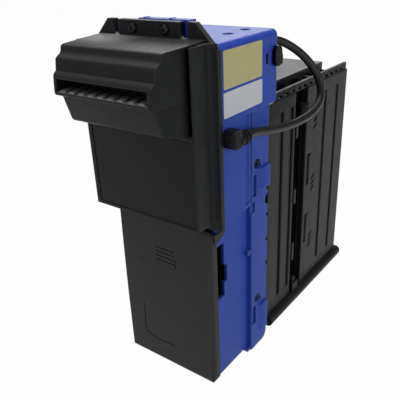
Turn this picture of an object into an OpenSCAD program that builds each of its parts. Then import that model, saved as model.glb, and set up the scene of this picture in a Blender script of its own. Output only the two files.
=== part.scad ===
// Bill acceptor with a stacking cash box.
// Sizes in mm, +Z up, front towards -Y. The origin is under the middle of the outline, on the floor.

/* [Bezel] */
// Width of the bezel flange
flange_w = 92.5; // [89:0.5:96]
// Height of the flange's top edge above the frame's floor
flange_top = 243; // [236:0.5:252]
// Gap between the lower cover's top edge and the flange
cover_gap = 3; // [2:0.1:5]
// Thickness of the flange
flange_t = 3.6; // [3:0.1:4.4]
// Width of the flange's top edge between the slanted shoulders
shoulder_w = 65; // [62:0.5:68]
// Drop of the slanted shoulders
shoulder_drop = 14; // [12:0.5:16]
// Spacing of the two open mounting notches
notch_spacing = 50; // [48:0.5:52]
// Width of a mounting notch
notch_w = 4.4; // [3.6:0.1:5]
// Spacing of the two flange screws
bezel_screw_spacing = 24; // [20:0.5:28]
// Width of the front block
block_w = 84; // [83:0.5:85]
// Depth of the front block in front of the flange
block_d = 18; // [17:0.5:20]
// Rise of the front block's bottom edge above the flange's bottom edge
block_rise = 6.6; // [5:0.1:8]
// Width of the nose at its front
nose_w = 73; // [72.5:0.5:75]
// Reach of the nose in front of the flange
nose_reach = 44; // [42:0.5:47]
// Width of the bill mouth
mouth_w = 68; // [67:0.5:69]
// Height of the bill's way inside the nose
bill_gap = 3.4; // [3:0.1:3.6]

/* [Validator body] */
// Width of the upper body
body_w = 89; // [88:0.5:90]
// Width of the body beside the lower cover
lower_w = 79; // [78:0.5:80]
// Wall thickness of the body
wall = 2.4; // [2:0.1:2.8]
// Drop of the body's top face below the flange's top edge
body_drop = 11; // [10:0.5:13]
// Height of the body's underside above the frame's floor
body_low = 2.5; // [1.5:0.1:3.5]
// Height of the upper block
upper_h = 45; // [43:0.5:48]
// Drop of the bill's way below the body's top face
slot_drop = 20; // [19:0.5:21]
// Depth of the body at its back edge, from the flange's front
body_depth = 36; // [35:0.5:37]
// Depth of the upper block at its back face
upper_depth = 67; // [66:0.5:68]
// Radius of the body's top edges
edge_r = 4; // [2.5:0.1:5]
// Radius of the four top fixing holes
top_hole_r = 3.4; // [2.6:0.1:3.8]
// Spacing of the top fixing holes across the body
top_hole_x = 56; // [50:0.5:60]
// Spacing of the top fixing holes front to back
top_hole_y = 19; // [17:0.5:20]
// Width over the rear frame
frame_w = 86; // [85.5:0.5:87]

/* [Lower cover] */
// Width of the lower cover
cover_w = 79.2; // [78:0.2:80]
// Height of the lower cover
cover_h = 120; // [112:0.5:130]
// Drop of the cover's lower edge below the frame's floor
cover_drop = 2; // [1:0.1:3]
// Wall thickness of the cover
cover_wall = 2.2; // [1.8:0.1:2.6]

/* [Cash box] */
// Width over the cash box panels
stack_w = 86; // [85:0.5:87]
// Depth of the cash box's back face
stack_back = 188; // [184:1:194]
// Height of the cash box panels' bottom edge
stack_bottom = 17; // [15:0.5:19]
// Gap between the cash box panels' top edge and the upper block
stack_gap = 2; // [1.6:0.1:3]
// Height of the base plate
base_h = 9.4; // [8:0.1:11]
// Height of the toothed rails
rail_h = 5.6; // [4.4:0.1:6]
// Width over the base rim
base_w = 95; // [93:0.5:97]
// Depth of the base rim's back end
base_back = 196; // [195:0.5:199]

/* [Drive] */
// Radius of the turn drum
drum_r = 14; // [13.6:0.1:14.2]
// Gear module
gear_module = 1; // [0.98:0.01:1]
// Teeth of the drum gear
drum_teeth = 36; // [32:1:36]
// Teeth of the motor pinion
pinion_teeth = 14; // [12:1:14]
// Teeth of the stacker gear
stack_teeth = 28; // [26:1:28]
// Teeth of the stacker motor's pinion
stack_pinion_teeth = 12; // [12:1:14]
// Teeth of the two rack pinions
rack_teeth = 16; // [14:1:16]

/* [Lead] */
// Diameter of the lead
cable_d = 5.6; // [5:0.1:6.4]

/* [Hidden] */
$fn = 48;
shift_y = -(base_back - nose_reach) / 2;
fit = 0.05;
seam = 0.3;
lid_half = 24.6;
half_flange = flange_w / 2;
half_block = block_w / 2;
half_body = body_w / 2;
half_lower = lower_w / 2;
half_cover = cover_w / 2;
half_stack = stack_w / 2;
half_frame = frame_w / 2;
cover_top = cover_h - cover_drop;
flange_bottom = cover_top + cover_gap;
block_bottom = flange_bottom + block_rise;
body_top = flange_top - body_drop;
block_top = body_top + 1;
slot_z = body_top - slot_drop;
panel_top = slot_z - 28.4;
upper_bottom = body_top - upper_h;
stack_top = upper_bottom - stack_gap;
window_low = stack_bottom + 21;
window_high = stack_top - 13;
facet_low = cover_top + 0.5;
facet_high = facet_low + 6.5;
tab_half = notch_spacing / 2 - notch_w / 2;
tab_proud = 1.2;
lip_drop = 4.1;
lip_d = 15;
screw_z = flange_top - 4.6;
screw_r = 1.5;
head_r = 3;
frame_screws_at = [[46.4, upper_bottom - 37.2], [47.6, 43.4]];
seam_marks = [66, 86, 106, 126];
pin_r = 1.25;
cover_back = flange_t - seam;
hinge_r = 4;
hinge_y = cover_back - hinge_r;
hinge_z = hinge_r - cover_drop;
lug_half = 2.4;
cover_lean = -1;
neck_y = upper_depth + 1.8;
lever_y = 58;
lever_z = upper_bottom + 10;
drum_y = 39.5;
drum_z = 24.5;
motor_dist = gear_module * (drum_teeth + pinion_teeth) / 2;
shaft_y = 42;
pusher_y = 51.2;
shaft_z = (window_low + window_high) / 2 + 7;
stack_dist = gear_module * (stack_teeth + stack_pinion_teeth) / 2;
inlet_y = 12;
inlet_r = 5.2;
inlet_z = slot_z - bill_gap / 2 - 0.1 - inlet_r;
idler_r = 4;
idler_z = inlet_z + inlet_r + 0.5 + idler_r;
guide_low = 48;
guide_top = inlet_z - 9;
belt_rise = (inlet_z - drum_z) / (drum_y - inlet_y);
belt_mid = drum_z + (drum_y - 25.2) * belt_rise;
belt_half = 6.3 * sqrt(1 + belt_rise * belt_rise) + 1.2 * belt_rise + 4;
plate_y = 70;
plate_low = stack_bottom + 5;
plate_high = stack_top - 9;
spring_at = [plate_low + 38, plate_high - 38];
lid_y = 182;
lid_z = stack_top - 4.8;
lid_low = stack_top - 3;
lid_top = stack_top + rail_h;
gland_x = 28;
gland_z = body_top - 10;
socket_y = 10.5;
socket_z = upper_bottom - 8.5;
boot_x = half_body + 4.5;
boot_y = 24.4;
boot_z = socket_z - 2.2;
pressure_angle = 25;
tooth_out = 0.8;
tooth_in = 1.1;
backlash = 0.3;

// Route of the lead, from the plug's boot to the bushing at the back of the upper block.
route = [[boot_x, boot_y + 0.1, boot_z], [boot_x, boot_y + 5, boot_z], [49.1, 34.4, 175.9], [49.8, 42.5, 174.3], [51.1, 54.5, 172.5],
         [52.8, 69.3, 171.1], [54.5, 84.9, 171.1], [55.7, 99, 173.3], [55.7, 109.3, 178.4], [53.9, 114.5, 186],
         [50.2, 114.6, 195.3], [45.1, 110.3, 204.9], [39.5, 103, 213.1], [33.6, 94.6, 219.2], [29.4, 86.4, 221.7],
         [gland_x, upper_depth + 12, gland_z], [gland_x, upper_depth + 7.2, gland_z], [gland_x, upper_depth + 2.4, gland_z]];

// Shifts the assembly so that the origin lies under its middle and the cover's lower edge on the floor.
module put() {
    translate([0, shift_y, cover_drop]) children();
}

// A block given by its two corners.
module block(x0, x1, y0, y1, z0, z1) {
    translate([x0, y0, z0]) cube([x1 - x0, y1 - y0, z1 - z0]);
}

// A shape drawn in Y and Z, drawn out along X.
module along_x(x0, x1) {
    translate([x0, 0, 0]) rotate([90, 0, 90]) linear_extrude(x1 - x0) children();
}

// A shape drawn in X and Z, drawn out along Y.
module along_y(y0, y1) {
    translate([0, y1, 0]) rotate([90, 0, 0]) linear_extrude(y1 - y0) children();
}

module rod_x(x0, x1, y, z, r) {
    translate([x0, y, z]) rotate([0, 90, 0]) cylinder(h = x1 - x0, r = r);
}

module rod_y(y0, y1, x, z, r) {
    translate([x, y1, z]) rotate([90, 0, 0]) cylinder(h = y1 - y0, r = r);
}

module both_sides() {
    children();
    mirror([1, 0, 0]) children();
}

// A flat rectangle with round corners.
module round_rect(x0, x1, y0, y1, r) {
    translate([x0 + r, y0]) square([x1 - x0 - 2 * r, y1 - y0]);
    translate([x0, y0 + r]) square([x1 - x0, y1 - y0 - 2 * r]);
    for (x = [x0 + r, x1 - r], y = [y0 + r, y1 - r]) translate([x, y]) circle(r = r);
}

// Involute gear outline with one tooth centred on the given angle.
function involute(a) = tan(a) * 180 / PI - a;
function half_tooth(r, rp, rb) = (PI * gear_module / 2 - backlash) / (2 * rp) * 180 / PI
    + involute(pressure_angle) - involute(acos(min(1, rb / r)));
function tooth_points(n, c) =
    let (rp = gear_module * n / 2, rb = rp * cos(pressure_angle), ra = rp + tooth_out * gear_module,
         rr = rp - tooth_in * gear_module, rs = max(rb, rr), steps = 4)
    concat([[rr * cos(c - half_tooth(rs, rp, rb) - 0.5), rr * sin(c - half_tooth(rs, rp, rb) - 0.5)]],
           [for (i = [0:steps]) let (r = rs + (ra - rs) * i / steps, h = half_tooth(r, rp, rb))
                [r * cos(c - h), r * sin(c - h)]],
           [for (i = [steps:-1:0]) let (r = rs + (ra - rs) * i / steps, h = half_tooth(r, rp, rb))
                [r * cos(c + h), r * sin(c + h)]],
           [[rr * cos(c + half_tooth(rs, rp, rb) + 0.5), rr * sin(c + half_tooth(rs, rp, rb) + 0.5)]]);
module gear_outline(n, phase) {
    polygon([for (i = [0:n - 1]) each tooth_points(n, phase + 360 * i / n)]);
}

// Smooth curve through the route, and a round tube swept along it.
function curve_point(p, i, t) =
    let (a = p[max(i - 1, 0)], b = p[i], c = p[i + 1], d = p[min(i + 2, len(p) - 1)])
    0.5 * (2 * b + (c - a) * t + (2 * a - 5 * b + 4 * c - d) * t * t + (3 * b - a - 3 * c + d) * t * t * t);
function smooth_route(p, n) =
    concat([for (i = [0:len(p) - 2], k = [0:n - 1]) curve_point(p, i, k / n)], [p[len(p) - 1]]);
function unit(v) = v / norm(v);
module tube_along(path, r, sides, side_dir) {
    n = len(path);
    function dir(i) = unit(path[min(i + 1, n - 1)] - path[max(i - 1, 0)]);
    points = [for (i = [0:n - 1]) let (t = dir(i), u = unit(cross(side_dir, t)), v = cross(t, u))
        for (k = [0:sides - 1]) path[i] + r * (cos(360 * k / sides) * u + sin(360 * k / sides) * v)];
    walls = [for (i = [0:n - 2], k = [0:sides - 1])
        let (a = i * sides + k, b = i * sides + (k + 1) % sides)
        each [[a, a + sides, b + sides], [a, b + sides, b]]];
    ends = [[for (k = [0:sides - 1]) k], [for (k = [sides - 1:-1:0]) (n - 1) * sides + k]];
    polyhedron(points, concat(walls, ends), convexity = 10);
}

// Outline of the flange in X and Z: slanted shoulders and two open notches with round feet.
module flange_outline() {
    difference() {
        polygon([[-half_flange, flange_bottom], [half_flange, flange_bottom],
                 [half_flange, flange_top - shoulder_drop], [shoulder_w / 2, flange_top],
                 [-shoulder_w / 2, flange_top], [-half_flange, flange_top - shoulder_drop]]);
        for (x = [-notch_spacing / 2, notch_spacing / 2]) {
            translate([x, flange_top - 7]) circle(d = notch_w);
            translate([x - notch_w / 2, flange_top - 7]) square([notch_w, 10]);
        }
    }
}

// Side outline of the nose: sloping top, hollow brow, upright face and standing lip.
module nose_outline() {
    f = -nose_reach;
    translate([0, slot_z])
        polygon([[1, 22.4], [f + 12, 20.8], [f + 10.6, 20.2], [f + 10, 19], [f + 9.7, 17.4], [f + 8.6, 16],
                 [f + 6.4, 14.9], [f + 5, 13.6], [f + 4, 7.4], [f + 2.3, 6.2], [f + 1.3, 4.8],
                 [f, -3.6], [f + 0.6, -5.4], [f + 2.2, -6.2], [1, -6.2]]);
}

// Side outline of the chin, set back behind the lip and slanted to the block.
module chin_outline() {
    f = -nose_reach;
    translate([0, slot_z])
        polygon([[1, -6.1], [f + 4.4, -6.1], [f + 9.2, -21.4], [f + 10.6, -22.8], [-block_d + 1, -27.5], [1, -27.5]]);
}

// Plan of the nose, narrower at its front by an amount.
module nose_plan(narrow) {
    n = nose_w / 2 - narrow;
    polygon([[-half_block + 3.4, 2], [-half_block + 3.4, -block_d], [-n - 0.6, -nose_reach + 11],
             [-n, -nose_reach + 2], [-n + 1.4, -nose_reach - 1], [n - 1.4, -nose_reach - 1],
             [n, -nose_reach + 2], [n + 0.6, -nose_reach + 11], [half_block - 3.4, -block_d],
             [half_block - 3.4, 2]]);
}

// Plan of the front block, flared to the flange by hollow fillets.
module block_plan() {
    hollow = half_flange - half_block;
    difference() {
        union() {
            round_rect(-half_block, half_block, -block_d, 0, 0.7);
            translate([-half_block, -hollow - 3]) square([block_w, hollow + 3.5]);
            translate([-half_flange, -hollow]) square([flange_w, hollow]);
        }
        for (s = [-1, 1]) translate([s * half_flange, -hollow]) circle(r = hollow);
    }
}

module bezel_mask() {
    color("#1c1d1f") put() difference() {
        union() {
            along_y(0, flange_t) flange_outline();
            block(-tab_half, tab_half, -tab_proud, 0.1, block_top, flange_top);
            difference() {
                translate([0, 0, block_bottom]) linear_extrude(block_top - block_bottom) block_plan();
                // Grooves between the nose's cheeks and the block's columns
                both_sides() block(half_block - 3.4, half_block - 0.9, -block_d - 1, -block_d + 9,
                                   slot_z - 26, block_top + 1);
            }
            intersection() {
                along_x(-half_block, half_block) nose_outline();
                translate([0, 0, slot_z - 40]) linear_extrude(80) nose_plan(0);
            }
            intersection() {
                along_x(-half_block, half_block) chin_outline();
                translate([0, 0, slot_z - 40]) linear_extrude(80) nose_plan(2);
            }
        }
        // Bill mouth and the bill's way to the back
        along_x(-mouth_w / 2, mouth_w / 2) {
            polygon([[-nose_reach - 2, slot_z - lip_drop], [-nose_reach - 2, slot_z + 4.6],
                     [-nose_reach + 7, slot_z + bill_gap / 2], [6, slot_z + bill_gap / 2], [6, slot_z - bill_gap / 2],
                     [-nose_reach + lip_d, slot_z - bill_gap / 2], [-nose_reach + lip_d, slot_z - lip_drop]]);
        }
        // Pockets behind the block, under and over the bill's way
        block(-half_block + 2.6, half_block - 2.6, -block_d + 3.4, flange_t + 1, block_bottom + 2.8, slot_z - 29);
        along_x(-nose_w / 2 + 4.6, nose_w / 2 - 4.6) translate([0, slot_z])
            polygon([[5, -29.1], [-block_d + 4, -29.1], [-nose_reach + 13.4, -19.6], [-nose_reach + 9, -7], [5, -7]]);
        along_x(-nose_w / 2 + 2.6, nose_w / 2 - 2.6) translate([0, slot_z])
            polygon([[5, bill_gap / 2 + 2.6], [-nose_reach + 9.5, bill_gap / 2 + 2.6],
                     [-nose_reach + 12.4, 17.6], [5, 18.6]]);
        // Recess for the front panel
        along_y(-block_d - 1, -block_d + 1.3) round_rect(-half_block + 3.5, half_block - 0.9,
                                                        block_bottom + 2, panel_top, 2.5);
        // Flange screw holes with shallow seats
        for (x = [-bezel_screw_spacing / 2, bezel_screw_spacing / 2]) {
            rod_y(-5, 10, x, screw_z, screw_r + fit);
            rod_y(-5, -tab_proud + 0.6, x, screw_z, head_r + 0.7);
        }
    }
}

// Lower lip of the mouth: a ramp with nine broad ridges that lift the bill.
module inlet_guide() {
    ramp = 6.5;
    floor_z = -bill_gap / 2 - 0.95;
    color("#2a2b2d") put() translate([0, -nose_reach, slot_z]) {
        along_x(-mouth_w / 2, mouth_w / 2)
            polygon([[0.8, -lip_drop], [lip_d, -lip_drop], [lip_d, floor_z], [ramp, floor_z], [0.8, 0.5 - lip_drop]]);
        for (i = [-4:4]) along_x(i * 7.4 - 2, i * 7.4 + 2)
            polygon([[0.9, 0.4 - lip_drop], [lip_d, floor_z - 0.3], [lip_d, floor_z + 0.9], [ramp, floor_z + 0.9],
                     [0.9, 1.3 - lip_drop]]);
    }
}

module front_panel() {
    color("#202123") put() along_y(-block_d + 0.35, -block_d + 1.3)
        round_rect(-half_block + 3.5 + seam, half_block - 0.9 - seam, block_bottom + 2 + seam, panel_top - seam, 2.3);
}

module bezel_screws() {
    color("#17181a") put() for (x = [-bezel_screw_spacing / 2, bezel_screw_spacing / 2]) {
        difference() {
            rod_y(-tab_proud - 1, -tab_proud + 0.6, x, screw_z, head_r);
            rod_y(-tab_proud - 2, -tab_proud - 0.1, x, screw_z, 0.9);
        }
        rod_y(-tab_proud + 0.5, flange_t + 5, x, screw_z, screw_r);
    }
}

// Outer outline of the body in X and Z, grown inwards by an amount.
module body_outline(t) {
    x1 = half_lower - t;
    x2 = half_body - t;
    polygon([[-x1, body_low + t], [x1, body_low + t], [x1, facet_low], [x2, facet_high], [x2, body_top - edge_r], [-x2, body_top - edge_r],
             [-x2, facet_high], [-x1, facet_low]]);
    round_rect(-x2, x2, facet_high + 10, body_top - t, edge_r - t / 2);
}

module main_housing() {
    color("#3a4fae") put() difference() {
        union() {
            along_y(flange_t, body_depth) body_outline(0);
            along_y(body_depth - 1, upper_depth) round_rect(-half_body, half_body, upper_bottom, body_top, edge_r);
            block(-half_body, half_body, body_depth - 1, upper_depth, upper_bottom, upper_bottom + edge_r + 1);
            // Block behind the flange tab, with two low bumps
            block(-11, 26, flange_t, flange_t + 6, body_top - 2, flange_top + 0.5);
            for (x = [-7, 12]) rod_y(flange_t + 1.2, flange_t + 4.8, x, flange_top - 0.7, 1.8);
            // Lugs of the cover hinge
            both_sides() {
                block(24, 28, hinge_y, flange_t + 8, hinge_z - lug_half, hinge_z + lug_half);
                rod_x(24, 28, hinge_y, hinge_z, lug_half);
            }
        }
        // Hollow of the body and of the upper block
        difference() {
            along_y(flange_t - 1, body_depth + 1) body_outline(wall);
            both_sides() block(24, 28, -6, flange_t + 8, -6, hinge_z + lug_half);
        }
        along_y(body_depth - 2, upper_depth - wall)
            round_rect(-half_body + wall, half_body - wall, upper_bottom + wall, body_top - wall, edge_r - wall / 2);
        rod_x(-30, 30, hinge_y, hinge_z, pin_r + fit);
        // Finger openings beside the cover
        both_sides() {
            block(half_lower - wall - 1, half_body, flange_t - 1, 11.2, cover_top - 52, cover_top - 11);
            block(half_lower - wall - 1, half_body, 11, 14.4, cover_top - 41.5, cover_top - 28);
            // Shallow flute beside the rear frame
            translate([half_body + 3.6, body_depth - 3.4, facet_high + 1.5])
                cylinder(h = upper_bottom - facet_high - 1.5, r = 5);
        }
        // Top fixing holes
        for (x = [-top_hole_x / 2, top_hole_x / 2], y = [37.4, 37.4 + top_hole_y])
            translate([x, y, body_top - 5]) cylinder(h = 8, r = top_hole_r);
        // Flange screw holes
        for (x = [-bezel_screw_spacing / 2, bezel_screw_spacing / 2]) rod_y(0, flange_t + 5, x, screw_z, screw_r + fit);
        // Small windows at the sides, slots for the thumb lever and the holes of its pin
        both_sides() {
            block(half_body - wall - 1, half_body + 1, 53.4, 57, body_top - 19.6, body_top - 13);
            block(35.6, 41.4, upper_depth - wall - 1, upper_depth + 1, lever_z + 6, body_top - 7);
        }
        block(-9, 9, 52, upper_depth - 1, upper_bottom - 1, upper_bottom + wall + 0.1);
        block(-9, 9, upper_depth - 4, upper_depth + 1, upper_bottom - 1, upper_bottom + 6);
        rod_x(-half_body + 1, half_body - 1, lever_y, lever_z, screw_r + fit);
        // Socket opening and bushing hole
        block(half_body - wall - 1, half_body + 1, socket_y - 5, socket_y + 5, socket_z - 4.8, socket_z + 4.8);
        rod_y(upper_depth - wall - 1, upper_depth + 1, gland_x, gland_z, 4.6);
    }
}

// Plan of the rear frame: side strips that stand out behind a hollow step.
module frame_plan() {
    difference() {
        union() {
            translate([-half_frame, body_depth + 3.4]) square([frame_w, 61 - body_depth - 3.4]);
            translate([-half_lower, body_depth]) square([lower_w, 10]);
        }
        for (s = [-1, 1]) translate([s * (half_lower + 3.6), body_depth + 0.2]) circle(r = 3.6);
        translate([-half_lower + wall, body_depth - 1]) square([lower_w - 2 * wall, 8]);
        translate([-half_frame + wall, body_depth + 3.4 + wall])
            square([frame_w - 2 * wall, 61 - 2 * wall - body_depth - 3.4]);
    }
}

module rear_frame() {
    color("#3a4fae") put() difference() {
        union() {
            intersection() {
                union() {
                    linear_extrude(upper_bottom) frame_plan();
                    block(-half_frame + 1, half_frame - 1, body_depth, 61, 0, wall);
                    block(-half_lower, half_lower, body_depth, body_depth + 4, 0, wall);
                }
                along_x(-half_frame - 5, half_frame + 5)
                    polygon([[0, 0], [56, 0], [59, 1.2], [61, 5], [61, 190], [0, 190]]);
            }
            both_sides() {
                // Tabs with a sloping front flank
                translate([half_frame, 0, upper_bottom - 56.5]) linear_extrude(15.3)
                    polygon([[-1, 47.4], [0, 47.4], [1.8, 51], [1.8, 61], [-1, 61]]);
                translate([half_frame, 0, 12]) linear_extrude(23.5)
                    polygon([[-1, 48.6], [0, 48.6], [1.8, 52], [1.8, 60], [-1, 60]]);
                block(half_lower - 1, half_frame - 0.4, body_depth, body_depth + 4.2, 85, 88.5);
                for (at = frame_screws_at) rod_x(half_frame - wall - 2, half_frame, at[0], at[1], 4.6);
            }
        }
        // Window of the pusher
        block(-31.5, 31.5, 57, 62, window_low, window_high);
        both_sides() {
            for (at = frame_screws_at) {
                rod_x(half_frame - 6, half_frame + 3, at[0], at[1], screw_r + fit);
                rod_x(half_frame - 1.8, half_frame + 3, at[0], at[1], 3.6);
                block(half_frame - 1.2, half_frame + 1, at[0] - 1, at[0] + 5, at[1] - 3.6, at[1] - 0.4);
            }
            // Shallow pockets in front of the tabs
            for (z = [upper_bottom - 60, 22]) block(half_frame - 1.6, half_frame + 1, 40.8, 46, z, z + 16);
            // Waist of the strip and small bites at its back edge
            block(half_frame - 1.2, half_frame + 1, body_depth + 2, 44, cover_top - 2, cover_top + 6);
            for (z = seam_marks) block(half_frame - 3, half_frame + 1, 59, 62, z, z + 3);
            // Half-round bite in the strip's back edge
            rod_x(half_frame - wall - 1, half_frame + 1, 61.4, cover_top + 1.4, 4.4);
        }
    }
}

module frame_screws() {
    color("#26282b") put() both_sides() for (at = frame_screws_at) {
        difference() {
            rod_x(half_frame - 1.8, half_frame - 0.3, at[0], at[1], 3.1);
            rod_x(half_frame - 1.1, half_frame + 2, at[0], at[1], 1.1);
        }
        rod_x(half_frame - wall - 2, half_frame - 1.7, at[0], at[1], screw_r);
    }
}

// Side outline of the cover: leaning front, half-round lower edge about the hinge line.
function cover_points(t) = concat(
    [[cover_lean + t, cover_top - 2 - t]],
    [for (a = [180:15:345]) [hinge_y + (hinge_r - t) * cos(a), hinge_z + (hinge_r - t) * sin(a)]],
    [[cover_back + 3 * t, hinge_z], [cover_back + 3 * t, cover_top - t], [t, cover_top - t]]);

// Cuts a shape drawn in X and Z into the cover's leaning front, to a depth.
module on_cover(depth) {
    translate([0, hinge_y - hinge_r, hinge_z])
        rotate([-atan((cover_lean - hinge_y + hinge_r) / (cover_top - 2 - hinge_z)), 0, 0])
            translate([0, 0, -hinge_z]) along_y(-2, depth) children();
}

module front_cover() {
    color("#26272a") put() {
        cover_shell();
        // Ears at the top corners, which lie beside the body
        both_sides() {
            along_x(half_cover - 1, half_cover + 0.5) translate([0, cover_top])
                polygon([[0.2, -7], [cover_back - 0.1, -7], [cover_back - 0.1, -0.8], [0.2, -0.8]]);
            along_x(half_cover + 0.3, half_cover + 1.3) translate([0, cover_top])
                polygon([[0.2, -7], [cover_back, -7], [cover_back + 6.8, -3.6], [cover_back + 6.8, -0.8], [0.2, -0.8]]);
        }
    }
}

module cover_shell() {
    difference() {
        intersection() {
            along_x(-half_cover, half_cover) polygon(cover_points(0));
            along_y(-10, 10) round_rect(-half_cover, half_cover, -cover_drop, cover_top, 4.4);
            translate([0, 0, -cover_drop - 1]) linear_extrude(cover_h + 2) union() {
                round_rect(-half_cover, half_cover, hinge_y - hinge_r, cover_back + 6, 4.6);
                translate([-half_cover, 0]) square([cover_w, cover_back + 4]);
            }
        }
        difference() {
            along_x(-half_cover + cover_wall, half_cover - cover_wall) polygon(cover_points(cover_wall));
            both_sides() along_x(28.4, 33) {
                translate([hinge_y, hinge_z]) circle(r = 2.9);
                polygon([[hinge_y - 5, hinge_z - 2.6], [hinge_y, hinge_z - 2.8], [hinge_y, hinge_z + 2.8],
                         [hinge_y - 5, hinge_z + 5]]);
            }
        }
        // Slots over the lugs of the body, open as far as the lugs swing
        both_sides() along_x(23.6, 28.4) translate([hinge_y, hinge_z]) {
            circle(r = lug_half + 0.5);
            translate([-lug_half + 0.2, -6]) square([12, 6 + lug_half + 0.4]);
        }
        rod_x(-34, 34, hinge_y, hinge_z, pin_r + fit);
        // Shallow rounded outline low on the front
        on_cover(0.5) difference() {
            round_rect(-23.4, 30, 16.4, 70, 8);
            round_rect(-22.3, 34, 17.6, 72, 7.2);
            translate([5, 10]) square([34, 70]);
            translate([-30, 44]) square([70, 40]);
        }
        // Four grip grooves with a short upright one
        on_cover(0.6) {
            for (z = [86.2, 89.4, 92.6, 95.8]) translate([-8, z - 0.8]) square([16.2, 1.6]);
            translate([8.2, 83]) square([1, 8]);
        }
    }
}

module cover_pins() {
    color("#8d9196") put() both_sides() rod_x(24, 33, hinge_y, hinge_z, pin_r);
}

module release_lever() {
    color("#141517") put() difference() {
        union() {
            // Cross bar, hubs and side arms
            block(-41, 41, lever_y - 1.5, lever_y + 1.5, lever_z + 10, lever_z + 14);
            both_sides() {
                rod_x(36.5, 40.5, lever_y, lever_z, 3.6);
                along_x(36.5, 40.5) translate([lever_y, lever_z])
                    polygon([[-2.6, 0], [2.6, 0], [3, 9], [neck_y - lever_y, 13.5], [neck_y - lever_y + 1.6, 13.5],
                             [neck_y - lever_y + 1.6, 19.5], [neck_y - lever_y - 0.2, 19.5], [1, 15], [-2, 14]]);
                // Neck behind the body and the pill-shaped thumb piece
                block(36.5, half_body + 2.6, neck_y, neck_y + 1.6, lever_z + 13.5, lever_z + 19.5);
                block(half_body + seam, half_body + 2.6, upper_depth - 3, neck_y + 1.6, lever_z + 13.5, lever_z + 19.5);
                along_x(half_body + seam, half_body + 2.9)
                    round_rect(upper_depth - 6.4, upper_depth + 2, lever_z + 12.8, lever_z + 25.4, 4.15);
            }
            // Middle arm and its toe over the cash box
            along_x(-8, 8) translate([lever_y, lever_z])
                polygon([[-1.5, 11], [-1.5, -9], [7.6, -9], [7.6, -11], [9.4, -11.3], [10, -6.6], [1.5, -6.6], [1.5, 11]]);
            rod_x(-8, 8, lever_y, lever_z, 3.6);
        }
        rod_x(-50, 50, lever_y, lever_z, screw_r + fit);
    }
}

module lever_pin() {
    color("#8d9196") put() rod_x(-half_body + 1.2, half_body - 1.2, lever_y, lever_z, screw_r);
}

module plug_socket() {
    color("#202224") put() difference() {
        block(half_body - 7, half_body + 0.1, socket_y - 5, socket_y + 5, socket_z - 4.8, socket_z + 4.8);
        block(half_body - 5, half_body + 1, socket_y - 3.8, socket_y + 3.8, socket_z - 3.4, socket_z + 3.4);
    }
}

module cable_gland() {
    color("#1a1b1d") put() difference() {
        union() {
            rod_y(upper_depth, upper_depth + 2.2, gland_x, gland_z, 6.4);
            rod_y(upper_depth - wall - 2, upper_depth + 0.5, gland_x, gland_z, 4.6 - fit);
        }
        rod_y(upper_depth - wall - 3, upper_depth - 0.4, gland_x, gland_z, 2.6);
    }
}

module cable() {
    color("#1b1c1e") put() tube_along(smooth_route(route, 3), cable_d / 2, 10, [0.94, 0.2, 0.28]);
}

module cable_plug() {
    color("#1d1e20") put() {
        // Right-angle body with rounded edges, pressed on the socket
        intersection() {
            along_x(half_body + 0.1, half_body + 8) round_rect(socket_y - 6.1, socket_y + 6.1, socket_z - 5.5,
                                                               socket_z + 5.5, 4);
            translate([0, 0, socket_z - 10]) linear_extrude(20)
                round_rect(half_body - 10, half_body + 8, socket_y - 6.1, socket_y + 6.1, 3.6);
        }
        block(half_body - 4.8, half_body + 1, socket_y - 3.4, socket_y + 3.4, socket_z - 3, socket_z + 3);
        // Boot with two ribs
        rod_y(socket_y + 4, boot_y, boot_x, boot_z, 3.8);
        for (y = [boot_y - 5, boot_y - 2]) rod_y(y, y + 1.3, boot_x, boot_z, 4.4);
    }
}

module inner_guide() {
    color("#3b3e42") put() difference() {
        union() {
            block(-half_lower + wall, half_lower - wall, 24, 26.4, guide_low, guide_top);
            both_sides() block(half_lower - wall - 2, half_body - wall, 24, 26.4, facet_high + 5, guide_top - 6);
            for (x = [-24, -12, 0, 12, 24]) block(x - 0.7, x + 0.7, 22.9, 24.1, shaft_z + 4, shaft_z + 26);
        }
        // Way of the belt and of the two racks
        block(26.6, 33.4, 20, 28, belt_mid - belt_half, belt_mid + belt_half);
        both_sides() block(16.5, 23.5, 23.5, 28, shaft_z + 5, shaft_z + 16);
    }
}

module side_plate(x0, x1) {
    difference() {
        along_x(x0, x1) union() {
            round_rect(26.4, 56, body_low + wall + 0.1, 66, 4);
            translate([26.4, guide_low]) square([8, 18]);
            translate([body_depth + 1, wall]) square([13, 8]);
        }
        rod_x(x0 - 1, x1 + 1, drum_y, drum_z, 3 + fit);
        rod_x(x0 - 1, x1 + 1, drum_y, drum_z + motor_dist, 1.5 + fit);
    }
}

module side_plate_left() {
    color("#565a5f") put() side_plate(-half_lower + wall, -33.4);
}

module side_plate_right() {
    color("#565a5f") put() side_plate(33.4, half_lower - wall);
}

module turn_drum() {
    color("#d8d8d2") put() {
        difference() {
            rod_x(-26, 26, drum_y, drum_z, drum_r);
            for (x = [-18, 0, 18]) difference() {
                rod_x(x - 4, x + 4, drum_y, drum_z, drum_r + 1);
                rod_x(x - 4, x + 4, drum_y, drum_z, drum_r - 1.4);
            }
        }
        rod_x(-36.8, 36.8, drum_y, drum_z, 3);
        translate([0, drum_y, drum_z]) along_x(-32.4, -26.5) gear_outline(drum_teeth, 90);
        rod_x(-26.6, -25.9, drum_y, drum_z, 6);
        rod_x(25.9, 32.2, drum_y, drum_z, 5);
        rod_x(26.6, 27.6, drum_y, drum_z, 8);
    }
}

module drum_tyres() {
    color("#232426") put() for (x = [-18, 0, 18]) difference() {
        rod_x(x - 4, x + 4, drum_y, drum_z, drum_r + 0.5);
        rod_x(x - 5, x + 5, drum_y, drum_z, drum_r - 1.4);
    }
}

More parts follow.
